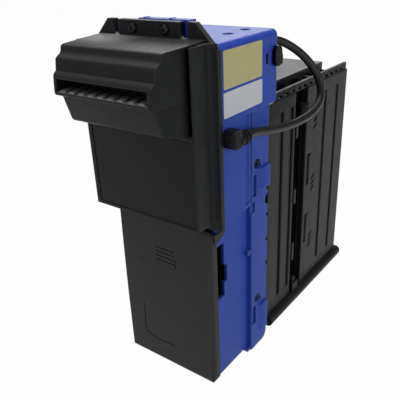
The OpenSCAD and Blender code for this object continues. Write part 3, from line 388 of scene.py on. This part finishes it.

# Painted highlight: a pale patch on the nose's top, strongest at its back and to the left, stands for a
# reflection there.
highlight_middle = spot(-27, 0, 0).x
highlight_front = spot(0, -30, 0).y
highlight_back = spot(0, -11, 0).y
flange_front = spot(0, -1, 0).y
nose_top = spot(0, 0, 214).z
place = add_node(tree, "ShaderNodeSeparateXYZ", {}, {0: where.outputs["Object"]})
facing = add_node(tree, "ShaderNodeSeparateXYZ", {}, {0: where.outputs["Normal"]})
highlight_share = soft_band(tree, place.outputs["X"], highlight_middle, 0, 30, 0.6)
highlight_share.interpolation_type = "SMOOTHSTEP"
inward = add_node(tree, "ShaderNodeMapRange",
                  {"interpolation_type": "SMOOTHSTEP", "From Min": highlight_front, "From Max": highlight_back},
                  {"Value": place.outputs["Y"]})
upward = add_node(tree, "ShaderNodeMapRange", {"From Min": 0.6, "From Max": 0.9},
                  {"Value": facing.outputs["Z"]})
before = add_node(tree, "ShaderNodeMath", {"operation": "LESS_THAN", 1: flange_front},
                  {0: place.outputs["Y"]})
above = add_node(tree, "ShaderNodeMath", {"operation": "GREATER_THAN", 1: nose_top},
                 {0: place.outputs["Z"]})
for limit in (inward, upward, before, above):
    highlight_share = add_node(tree, "ShaderNodeMath", {"operation": "MULTIPLY"},
                     {0: highlight_share.outputs[0], 1: limit.outputs[0]})
# Painted highlight laid over the black where the patch reaches.
cover_over(black, highlight_share.outputs[0], "#a0a0a0", 0.12)
finish(["bezel_mask", "front_panel"], black)
soften(["bezel_mask", "front_panel"], 0.0008)

# Acetal lip: dark grey and smooth, with a painted highlight that makes it paler towards its front.
lip = moulded("black_acetal_lip", "#3a3b3e", "#303134", 0.34, 0.05, 1.2, 0.08, 0.4)
lip_glint_back = spot(0, -37.5, 0).y
lip_glint_front = spot(0, -42.5, 0).y
tree = lip.node_tree
where = add_node(tree, "ShaderNodeTexCoord", {}, {})
depth = add_node(tree, "ShaderNodeSeparateXYZ", {}, {0: where.outputs["Object"]})
lip_glint = add_node(tree, "ShaderNodeMapRange", {"From Min": lip_glint_back, "From Max": lip_glint_front},
                {"Value": depth.outputs["Y"]})
cover_over(lip, lip_glint.outputs[0], "#77787b", 0.4)
finish(["inlet_guide"], lip)
soften(["inlet_guide"], 0.0002)


# Bezel screws
# Two pan-head machine screws, cold-headed steel blackened with oxide, with a cross
# recess; they hold the bezel's top flange to the housing.
def pick(piece, test):
    """Selects, in edit mode, the faces of a piece whose centre and normal pass a test."""
    bpy.ops.object.mode_set(mode="EDIT")
    bpy.ops.mesh.select_mode(type="FACE")
    bpy.ops.mesh.select_all(action="DESELECT")
    bpy.ops.object.mode_set(mode="OBJECT")
    for face in piece.data.polygons:
        face.select = test(face.center, face.normal)
    bpy.ops.object.mode_set(mode="EDIT")


def cross_screw(name, head, high, shank, long):
    """A screw at the origin in millimetres, head up and seat at 0: domed rim, cross recess, tapered tip."""
    dome = high * 0.6 / 1000
    straight = long * 0.85 / 1000
    tip = long * 0.15 / 1000
    wing_long = head * 1.15
    wing_thick = head * 0.26
    wing_deep = high * 1.3
    bpy.ops.object.select_all(action="DESELECT")
    bpy.ops.mesh.primitive_cylinder_add(vertices=40, radius=head / 1000, depth=high / 1000,
                                        location=(0, 0, high / 2000))
    screw = bpy.context.object
    screw.name = name
    bpy.ops.object.transform_apply(location=True)
    pick(screw, lambda centre, normal: normal.z > 0.9)
    bpy.ops.mesh.region_to_loop()
    bpy.ops.mesh.bevel(offset=dome, segments=4, affect="EDGES")
    pick(screw, lambda centre, normal: normal.z < -0.9)
    bpy.ops.mesh.inset(thickness=(head - shank) / 1000)
    bpy.ops.mesh.extrude_region_move(TRANSFORM_OT_translate={"value": (0, 0, -straight)})
    bpy.ops.mesh.extrude_region_move(TRANSFORM_OT_translate={"value": (0, 0, -tip)})
    bpy.ops.transform.resize(value=(0.55, 0.55, 1))
    bpy.ops.object.mode_set(mode="OBJECT")
    bpy.ops.object.select_all(action="DESELECT")
    bpy.ops.mesh.primitive_cube_add(size=0.001, location=(0, 0, high / 1000))
    wing = bpy.context.object
    wing.scale = (wing_long, wing_thick, wing_deep)
    bpy.ops.object.transform_apply(location=True, scale=True)
    pick(wing, lambda centre, normal: normal.z < -0.9)
    bpy.ops.transform.resize(value=(0.5, 0.8, 1))
    bpy.ops.object.mode_set(mode="OBJECT")
    bpy.ops.object.select_all(action="DESELECT")
    screw.select_set(True)
    bpy.context.view_layer.objects.active = screw
    for angle in (0, math.pi / 2):
        wing.rotation_euler.z = angle
        bpy.context.view_layer.update()
        cut = screw.modifiers.new("recess", "BOOLEAN")
        cut.operation = "DIFFERENCE"
        cut.object = wing
        bpy.ops.object.modifier_apply(modifier="recess")
    bpy.data.objects.remove(wing)
    bpy.ops.object.shade_smooth_by_angle(angle=math.radians(35))
    return screw


def seat(model, name, place, out, spin):
    """Copies a modelled piece with its own mesh, turns its head outwards and seats it."""
    copy = model.copy()
    copy.data = model.data.copy()
    copy.name = name
    bpy.context.collection.objects.link(copy)
    turned = Vector((0, 0, 1)).rotation_difference(Vector(out)).to_matrix().to_4x4()
    copy.data.transform(Matrix.Translation(place) @ turned @ Matrix.Rotation(math.radians(spin), 4, "Z"))
    return copy


def drawn_metal(name, pale, deep, rough, streak_mm):
    """A metal drawn, turned or plated: two near shades and uneven gloss in streaks, wider than real."""
    made = bpy.data.materials.new(name)
    made.use_nodes = True
    tree = made.node_tree
    tree.nodes.clear()
    where = add_node(tree, "ShaderNodeTexCoord", {}, {})
    lie = add_node(tree, "ShaderNodeMapping", {"Scale": (0.15, 1, 1)}, {"Vector": where.outputs["Object"]})
    streak = add_node(tree, "ShaderNodeTexNoise", {"Scale": 1000 / streak_mm, "Detail": 3.0},
                      {"Vector": lie.outputs[0]})
    tone = add_node(tree, "ShaderNodeMix", {"data_type": "RGBA", 6: linear(deep), 7: linear(pale)},
                    {0: streak.outputs["Fac"]})
    gloss = add_node(tree, "ShaderNodeMapRange",
                     {"From Min": 0.3, "From Max": 0.7, "To Min": rough - 0.07, "To Max": rough + 0.09},
                     {"Value": streak.outputs["Fac"]})
    skin = add_node(tree, "ShaderNodeBsdfPrincipled", {"Metallic": 1.0},
                    {"Base Color": tone.outputs[2], "Roughness": gloss.outputs[0]})
    add_node(tree, "ShaderNodeOutputMaterial", {}, {"Surface": skin.outputs[0]})
    return made


# Black oxide: dark steel with a soft sheen round the dome.
oxide = drawn_metal("steel_black_oxide", "#3a3b3d", "#26272a", 0.38, 0.7)
pan_head = cross_screw("pan_head", 3.0, 1.6, 1.5, 9.0)
pan_head.data.materials.append(oxide)
for name, x, spin in (("bezel_screw_left", -12, 20), ("bezel_screw_right", 12, 65)):
    screw = seat(pan_head, name, spot(x, -0.6, 238.4), (0, -1, 0), spin)
    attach(screw, "validator")
    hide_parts("bezel_screws")
bpy.data.objects.remove(pan_head)

# Frame screws
# Four low-head screws sunk in the rear frame's sides, two on each, of passivated
# steel that has gone dark; the recess hides most of each head.
passivated = drawn_metal("steel_passivated_dark", "#111113", "#0a0a0c", 0.5, 0.8)
screw_seat_x = 41.2
low_head = cross_screw("low_head", 3.1, 1.5, 1.5, 2.6)
low_head.data.materials.append(passivated)
for name, side_x, y, z, spin in (("frame_screw_right_top", 1, 46.4, 149.8, 10),
                                 ("frame_screw_right_low", 1, 47.6, 43.4, 50),
                                 ("frame_screw_left_top", -1, 46.4, 149.8, 30),
                                 ("frame_screw_left_low", -1, 47.6, 43.4, 75)):
    screw = seat(low_head, name, spot(side_x * screw_seat_x, y, z), (side_x, 0, 0), spin)
    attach(screw, "validator")
    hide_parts("frame_screws")
bpy.data.objects.remove(low_head)

# Lower cover
# The access cover is a separate charcoal ABS moulding, a little paler and warmer,
# hung on two drawn steel pins at its foot.
charcoal = moulded("charcoal_abs_satin", "#303030", "#292929", 0.5, 0.06, 1.6, 0.12, 0.15)
finish(["front_cover"], charcoal)
soften(["front_cover"], 0.0005)
# Drawn pins: bright steel with fine streaks.
pin_steel = drawn_metal("steel_drawn_pin", "#b9bcc0", "#8f9398", 0.3, 0.5)
finish(["cover_pins", "lever_pin", "lid_pins"], pin_steel)

# Thumb lever
# The cash box latch: a black acetal lever across the body with a pill-shaped thumb
# piece at each end, rubbed smooth by use: very dark, with hardly any sheen.
acetal = moulded("black_acetal_polished", "#08090a", "#050607", 0.42, 0.06, 1.6, 0.06, 0.07, wear=0.0)
finish(["release_lever"], acetal)
soften(["release_lever"], 0.0012)

# Bill path
# Guides, bearing plates, cheeks, brackets and cradles that lead and carry what moves
# the bill, moulded in dark glass-filled nylon with a dull, slightly fibrous skin.
nylon = moulded("glass_filled_nylon_dark", "#33363a", "#282a2d", 0.56, 0.08, 0.9, 0.2, 0.25)
finish(["inner_guide", "turn_guide", "side_plate_left", "side_plate_right", "inlet_cheek_left",
        "inlet_cheek_right", "motor_cradle", "stacker_cradle", "stacker_bracket_left",
        "stacker_bracket_right"], nylon)

# Rollers and drum
# Turn drum, idler and the stacker's shaft are white acetal, and the inlet roller is
# drawn steel; black rubber tyres are stretched over them and a belt joins the two.
white_acetal = moulded("white_acetal_moulded", "#d9d7cf", "#cdcac0", 0.34, 0.05, 1.2, 0.06, 0.4)
finish(["turn_drum", "inlet_idler", "stacker_shaft"], white_acetal)
finish(["inlet_roller"], pin_steel)
# Rubber: flat black, with a rough skin that takes no highlight.
rubber = moulded("rubber_tyre_black", "#242425", "#19191a", 0.74, 0.08, 0.6, 0.35, 0.2)
finish(["drum_tyres", "inlet_tyres", "drive_belt"], rubber)

# Motors and pinions
# Two small motors in drawn zinc-plated cans, with turned brass pinions; the board's
# spacers are turned from the same brass bar.
can = drawn_metal("steel_zinc_plated_can", "#a9acb0", "#85888d", 0.36, 0.9)
finish(["transport_motor", "stacker_motor"], can)
# Turned brass: warm yellow and bright, with fine turning streaks.
brass = drawn_metal("brass_turned", "#c8a35a", "#a8813d", 0.3, 0.4)
finish(["motor_pinion", "stacker_pinion", "board_spacers"], brass)


# Boards
# Main board behind the cover and sensor board behind the nose: green solder mask
# over etched copper tracks, with black epoxy chips and connectors standing off it.
def printed_board(name, chip_y):
    """Glossy solder mask over track fields, and matt epoxy on what stands in front of chip_y millimetres."""
    track_mm = 2.4
    epoxy_mm = 0.8
    made = bpy.data.materials.new(name)
    made.use_nodes = True
    tree = made.node_tree
    tree.nodes.clear()
    where = add_node(tree, "ShaderNodeTexCoord", {}, {})
    lie = add_node(tree, "ShaderNodeMapping", {"Rotation": (math.radians(90), 0, 0)},
                   {"Vector": where.outputs["Object"]})
    track = add_node(tree, "ShaderNodeTexBrick",
                     {"Scale": 1000 / track_mm, "Color1": linear("#1c5f36"), "Color2": linear("#23703f"),
                      "Mortar": linear("#2f8a50"), "Mortar Size": 0.06, "Brick Width": 2.2,
                      "Row Height": 0.5}, {"Vector": lie.outputs[0]})
    depth = add_node(tree, "ShaderNodeSeparateXYZ", {}, {0: where.outputs["Object"]})
    stands = add_node(tree, "ShaderNodeMath", {"operation": "LESS_THAN", 1: spot(0, chip_y, 0).y},
                      {0: depth.outputs["Y"]})
    epoxy = add_node(tree, "ShaderNodeTexNoise", {"Scale": 1000 / epoxy_mm, "Detail": 3.0},
                     {"Vector": where.outputs["Object"]})
    chip = add_node(tree, "ShaderNodeMix", {"data_type": "RGBA", 6: linear("#141516"), 7: linear("#232425")},
                    {0: epoxy.outputs["Fac"]})
    tone = add_node(tree, "ShaderNodeMix", {"data_type": "RGBA"},
                    {0: stands.outputs[0], 6: track.outputs["Color"], 7: chip.outputs[2]})
    gloss = add_node(tree, "ShaderNodeMapRange", {"To Min": 0.26, "To Max": 0.6},
                     {"Value": stands.outputs[0]})
    skin = add_node(tree, "ShaderNodeBsdfPrincipled", {"IOR": 1.5},
                    {"Base Color": tone.outputs[2], "Roughness": gloss.outputs[0]})
    add_node(tree, "ShaderNodeOutputMaterial", {}, {"Surface": skin.outputs[0]})
    return made


finish(["main_board"], printed_board("main_board_solder_mask", 14.9))
finish(["sensor_board"], printed_board("sensor_board_solder_mask", 20.7))

# Chip leads
# Tinned gull-wing leads, pressed from strip, bright against the board: four rows
# round the main board's large chip and two finer rows beside its small one.
tin = drawn_metal("copper_tinned", "#c4c6c8", "#a0a3a6", 0.32, 0.3)
board_face_y = 15
chip_middle = spot(-13, board_face_y, 91)
driver_middle = spot(9, board_face_y, 69)
whole = Matrix.Identity(4)
finer = Matrix.Translation((-0.002, 0, 0)) @ Matrix.Diagonal((1, 1, 0.75, 1))
shoulder_place = (0.0072, -0.0012, -0.00578)
shoulder_mm = (0.5, 0.22, 0.45)
leg_drop = (0.0003, 0.00108, 0)
leg_foot = (0.0006, 0, 0)
legs_in_row = 12
leg_pitch = 0.00105
bpy.ops.object.select_all(action="DESELECT")
bpy.ops.mesh.primitive_cube_add(size=0.001, location=shoulder_place)
comb = bpy.context.object
comb.scale = shoulder_mm
bpy.ops.object.transform_apply(location=True, scale=True)
pick(comb, lambda centre, normal: normal.x > 0.9)
bpy.ops.mesh.extrude_region_move(TRANSFORM_OT_translate={"value": leg_drop})
bpy.ops.mesh.extrude_region_move(TRANSFORM_OT_translate={"value": leg_foot})
bpy.ops.object.mode_set(mode="OBJECT")
row = comb.modifiers.new("row", "ARRAY")
row.count = legs_in_row
row.use_relative_offset = False
row.use_constant_offset = True
row.constant_offset_displace = (0, 0, leg_pitch)
bpy.ops.object.modifier_apply(modifier="row")
comb.data.materials.append(tin)
for name, middle, angle, trim in (("chip_leads_right", chip_middle, 0, whole),
                                  ("chip_leads_low", chip_middle, 90, whole),
                                  ("chip_leads_left", chip_middle, 180, whole),
                                  ("chip_leads_top", chip_middle, 270, whole),
                                  ("driver_leads_right", driver_middle, 0, finer),
                                  ("driver_leads_left", driver_middle, 180, finer)):
    leads = comb.copy()
    leads.data = comb.data.copy()
    leads.name = name
    bpy.context.collection.objects.link(leads)
    around = Matrix.Rotation(math.radians(angle), 4, "Y")
    leads.data.transform(Matrix.Translation(middle) @ around @ trim)
    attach(leads, "validator")
bpy.data.objects.remove(comb)

# Board resistors
# Chip resistors soldered flat on the main board: a small black ceramic body with
# a fired glaze and tinned caps at both ends. All of them make one piece.
ceramic = moulded("ceramic_chip_black", "#1f1f22", "#141416", 0.36, 0.05, 0.5, 0.05, 0.4, wear=0.0)
resistor_mm = (1.5, 1.25, 0.62)
tin_cap = 0.00035
past_body = 0.0008
bpy.ops.object.select_all(action="DESELECT")
bpy.ops.mesh.primitive_cube_add(size=0.001, location=(0, 0, resistor_mm[2] / 2000))
resistor = bpy.context.object
resistor.scale = resistor_mm
bpy.ops.object.transform_apply(location=True, scale=True)
resistor.data.materials.append(ceramic)
resistor.data.materials.append(tin)
pick(resistor, lambda centre, normal: abs(normal.x) > 0.9)
bpy.ops.mesh.extrude_faces_move(TRANSFORM_OT_shrink_fatten={"value": tin_cap})
pick(resistor, lambda centre, normal: abs(centre.x) > past_body)
resistor.active_material_index = 1
bpy.ops.object.material_slot_assign()
bpy.ops.object.mode_set(mode="OBJECT")
resistor_places = [(-24 + 4 * i, 106, 90) for i in range(8)]
resistor_places += [(-20 + 3.6 * i, 79, 0) for i in range(5)]
resistor_places += [(-1, 58 + 3.4 * i, 0) for i in range(6)]
resistor_places += [(-16, 58 + 3.4 * i, 0) for i in range(4)]
resistor_places += [(20, 97 + 3.4 * i, 0) for i in range(3)]
seated = [seat(resistor, "board_resistors", spot(x, board_face_y, z), (0, -1, 0), spin)
          for x, z, spin in resistor_places]
bpy.data.objects.remove(resistor)
bpy.ops.object.select_all(action="DESELECT")
for piece in seated:
    piece.select_set(True)
bpy.context.view_layer.objects.active = seated[0]
bpy.ops.object.join()
resistors = bpy.context.object
resistors.name = "board_resistors"
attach(resistors, "validator")

# Board capacitors
# Three small aluminium cans with a crimped rim, lacquered, standing on the main
# board beside its large chip; pale metal with a soft sheen.
foil = drawn_metal("aluminium_can_lacquered", "#b8babd", "#93969a", 0.34, 0.6)
can_radius = 0.0024
can_high = 0.0051
can_rim = 0.0005
top_sunk = 0.0002
bpy.ops.object.select_all(action="DESELECT")
bpy.ops.mesh.primitive_cylinder_add(vertices=36, radius=can_radius, depth=can_high,
                                    location=(0, 0, can_high / 2))
cap = bpy.context.object
bpy.ops.object.transform_apply(location=True)
pick(cap, lambda centre, normal: normal.z > 0.9)
bpy.ops.mesh.region_to_loop()
bpy.ops.mesh.bevel(offset=can_rim, segments=3, affect="EDGES")
pick(cap, lambda centre, normal: normal.z > 0.99)
bpy.ops.mesh.inset(thickness=can_rim)
bpy.ops.mesh.extrude_region_move(TRANSFORM_OT_translate={"value": (0, 0, -top_sunk)})
bpy.ops.object.mode_set(mode="OBJECT")
bpy.ops.object.shade_smooth_by_angle(angle=math.radians(30))
cap.data.materials.append(foil)
for i, (x, z) in enumerate(((12, 84), (18.4, 84), (12, 91))):
    copy = seat(cap, f"board_capacitor_{i + 1}", spot(x, board_face_y, z), (0, -1, 0), 0)
    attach(copy, "validator")
bpy.data.objects.remove(cap)

# Cash box
# Two shells, front and rear, moulded in dark grey ABS with fluted sides, a separate
# base with a rounded rim and two pierced rails on the top edges, satin and finely grained.
grey = moulded("dark_grey_abs_satin", "#202224", "#191b1d", 0.42, 0.04, 1.2, 0.08, 0.11, roll_mm=1.6)
tree = grey.node_tree
where = add_node(tree, "ShaderNodeTexCoord", {}, {})
place = add_node(tree, "ShaderNodeSeparateXYZ", {}, {0: where.outputs["Object"]})
facing = add_node(tree, "ShaderNodeSeparateXYZ", {}, {0: where.outputs["Normal"]})

# Painted shade: the floors sunk below the sides are coloured near black and matt, as shade in a recess. Its
# limit is deeper in the front shell, which ends at y 108, so that the hooks in the channel are left out of
# it.
front_end = spot(0, 108, 0).y
rear_start = spot(0, 112, 0).y
front_limit = 0.0418
rear_limit = 0.0425
full_depth = 0.0004
out_by = add_node(tree, "ShaderNodeMath", {"operation": "ABSOLUTE"}, {0: place.outputs["X"]})
skin_x = add_node(tree, "ShaderNodeMapRange",
                  {"From Min": front_end, "From Max": rear_start, "To Min": front_limit,
                   "To Max": rear_limit}, {"Value": place.outputs["Y"]})
below = add_node(tree, "ShaderNodeMath", {"operation": "SUBTRACT"},
                 {0: skin_x.outputs[0], 1: out_by.outputs[0]})
recess_shade = add_node(tree, "ShaderNodeMapRange", {"From Min": 0.0, "From Max": full_depth},
                {"Value": below.outputs[0]})

# The painted shade also spreads over the rims of the flutes, which run most of the way up.
flute_shade_share = 0.8
mark_shade_share = 0.85
flute_shade = None
for flute_y in (79, 93.6, 148, 170):
    band = soft_band(tree, place.outputs["Y"], spot(0, flute_y, 0).y, 2.0, 4.2, flute_shade_share)
    if flute_shade is not None:
        band = add_node(tree, "ShaderNodeMath", {"operation": "MAXIMUM"},
                        {0: band.outputs[0], 1: flute_shade.outputs[0]})
    flute_shade = band
flute_middle = spot(0, 0, 102).z
flute_run = soft_band(tree, place.outputs["Z"], flute_middle, 73.5, 75.5)

# Painted shade round the snap tongues' slits, two of them one above the other.
tongue_pitch = 0.052
slit_y = spot(0, 122.9, 0).y
slit_low = spot(0, 0, 54).z
slit_half = 0.013
slits_middle = 0.039
slits_reach = 0.043
slit_wide = soft_band(tree, place.outputs["Y"], slit_y, 1.8, 3.6, mark_shade_share)
up = add_node(tree, "ShaderNodeMath", {"operation": "SUBTRACT", 1: slit_low}, {0: place.outputs["Z"]})
repeat = add_node(tree, "ShaderNodeMath", {"operation": "FLOORED_MODULO", 1: tongue_pitch},
                  {0: up.outputs[0]})
slit_tall = soft_band(tree, repeat.outputs[0], slit_half, 12.8, 14.2)
slit_rows = add_node(tree, "ShaderNodeMath", {"operation": "COMPARE", 1: slits_middle, 2: slits_reach},
                     {0: up.outputs[0]})

# And painted shade round the slanted dashes, in groups of three at the same pitch.
dash_slope = math.tan(math.radians(28))
dash_pitch = 0.005
dash_half = 0.0022
group_high = 0.0145
dash_y = spot(0, 132.3, 0).y
first_dash = spot(0, 130, 47.1)
group_start = first_dash.z - dash_slope * first_dash.y - dash_half
slant = add_node(tree, "ShaderNodeMath", {"operation": "MULTIPLY_ADD", 1: -dash_slope},
                 {0: place.outputs["Y"], 2: place.outputs["Z"]})
climb = add_node(tree, "ShaderNodeMath", {"operation": "SUBTRACT", 1: group_start}, {0: slant.outputs[0]})
group = add_node(tree, "ShaderNodeMath", {"operation": "FLOORED_MODULO", 1: tongue_pitch},
                 {0: climb.outputs[0]})
in_group = add_node(tree, "ShaderNodeMath", {"operation": "LESS_THAN", 1: group_high}, {0: group.outputs[0]})
step = add_node(tree, "ShaderNodeMath", {"operation": "FLOORED_MODULO", 1: dash_pitch},
                {0: group.outputs[0]})
dash_tall = soft_band(tree, step.outputs[0], dash_half, 1.3, 2.0, mark_shade_share)
dash_wide = soft_band(tree, place.outputs["Y"], dash_y, 2.8, 3.6)

# Only faces that look sideways carry the painted shade.
painted_shade = recess_shade
for limits in ((flute_shade, flute_run), (slit_wide, slit_tall, slit_rows), (dash_wide, dash_tall, in_group)):
    patch = limits[0]
    for limit in limits[1:]:
        patch = add_node(tree, "ShaderNodeMath", {"operation": "MULTIPLY"},
                         {0: patch.outputs[0], 1: limit.outputs[0]})
    painted_shade = add_node(tree, "ShaderNodeMath", {"operation": "MAXIMUM"},
                     {0: painted_shade.outputs[0], 1: patch.outputs[0]})
sideways = add_node(tree, "ShaderNodeMath", {"operation": "ABSOLUTE"}, {0: facing.outputs["X"]})
flank = add_node(tree, "ShaderNodeMapRange", {"From Min": 0.4, "From Max": 0.6},
                 {"Value": sideways.outputs[0]})
painted_shade = add_node(tree, "ShaderNodeMath", {"operation": "MULTIPLY"},
                 {0: painted_shade.outputs[0], 1: flank.outputs[0]})
# Painted shade: near black and without shine wherever the masks above reach.
cover_over(grey, painted_shade.outputs[0], "#050606", 0.01)
finish(["stack_front", "stack_rear", "stack_base"], grey)
soften(["stack_front", "stack_rear"], 0.0007)
# Rail: a darker, duller black than the shells.
rail_black = moulded("black_abs_rail", "#151719", "#101214", 0.46, 0.06, 1.5, 0.12, 0.1)
finish(["stack_rails"], rail_black)
soften(["stack_rails"], 0.0002)

# Lid and plates
# The lid, the pusher and the pressure plate are paler grey ABS, satin, ribbed below;
# the pusher's racks are moulded in one with it.
pale_grey = moulded("grey_abs_satin", "#404244", "#393b3d", 0.44, 0.05, 1.6, 0.12, 0.12)
finish(["stack_lid", "pusher_plate", "pressure_plate"], pale_grey)
soften(["stack_lid"], 0.0004)

# Pressure springs
# Two compression springs of 1.6 mm bright steel wire, seven turns and closed flat
# ends, that stand between the cash box's rear wall and the pressure plate.
wire = drawn_metal("spring_wire_bright", "#b4b7ba", "#8d9094", 0.28, 0.4)
wire_radius = 0.0008
coil_radius = 0.014
coil_turns = 7
coil_steps = 40
closing_turn = 255
near_end = 0.002
front_y = spot(0, 73, 0).y
back_y = spot(0, 184.4, 0).y
for name, z in (("pressure_spring_low", 60), ("pressure_spring_top", 138)):
    axis_at = spot(0, 73, z)
    bpy.ops.object.select_all(action="DESELECT")
    bpy.ops.mesh.primitive_circle_add(vertices=12, radius=wire_radius)
    spring = bpy.context.object
    spring.name = name
    bpy.ops.object.mode_set(mode="EDIT")
    bpy.ops.mesh.select_all(action="SELECT")
    bpy.ops.transform.translate(value=(coil_radius, 0, 0))
    bpy.ops.object.mode_set(mode="OBJECT")
    coil = spring.modifiers.new("coil", "SCREW")
    coil.axis = "Y"
    coil.angle = -2 * math.pi
    coil.screw_offset = (back_y - front_y) / coil_turns
    coil.iterations = coil_turns
    coil.steps = coil_steps
    coil.render_steps = coil_steps
    bpy.ops.object.modifier_apply(modifier="coil")
    spring.location = axis_at
    bpy.ops.object.transform_apply(location=True)
    for end_y, angle in ((front_y, closing_turn), (back_y, -closing_turn)):
        bpy.ops.object.mode_set(mode="EDIT")
        bpy.ops.mesh.select_mode(type="EDGE")
        bpy.ops.mesh.select_all(action="DESELECT")
        bpy.ops.mesh.select_non_manifold()
        bpy.ops.object.mode_set(mode="OBJECT")
        for corner in spring.data.vertices:
            corner.select = corner.select and abs(corner.co.y - end_y) < near_end
        for edge in spring.data.edges:
            edge.select = all(spring.data.vertices[v].select for v in edge.vertices) and edge.select
        bpy.ops.object.mode_set(mode="EDIT")
        bpy.ops.mesh.spin(steps=30, angle=math.radians(angle), center=(axis_at.x, end_y, axis_at.z),
                          axis=(0, 1, 0))
        bpy.ops.mesh.edge_face_add()
        bpy.ops.object.mode_set(mode="OBJECT")
    bpy.ops.object.mode_set(mode="EDIT")
    bpy.ops.mesh.select_all(action="SELECT")
    bpy.ops.mesh.remove_doubles(threshold=0.00001)
    bpy.ops.mesh.normals_make_consistent(inside=False)
    bpy.ops.object.mode_set(mode="OBJECT")
    bpy.ops.object.shade_smooth_by_angle(angle=math.radians(50))
    spring.data.materials.append(wire)
    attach(spring, "cash_box")
    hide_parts("pressure_springs")
    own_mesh(spring)
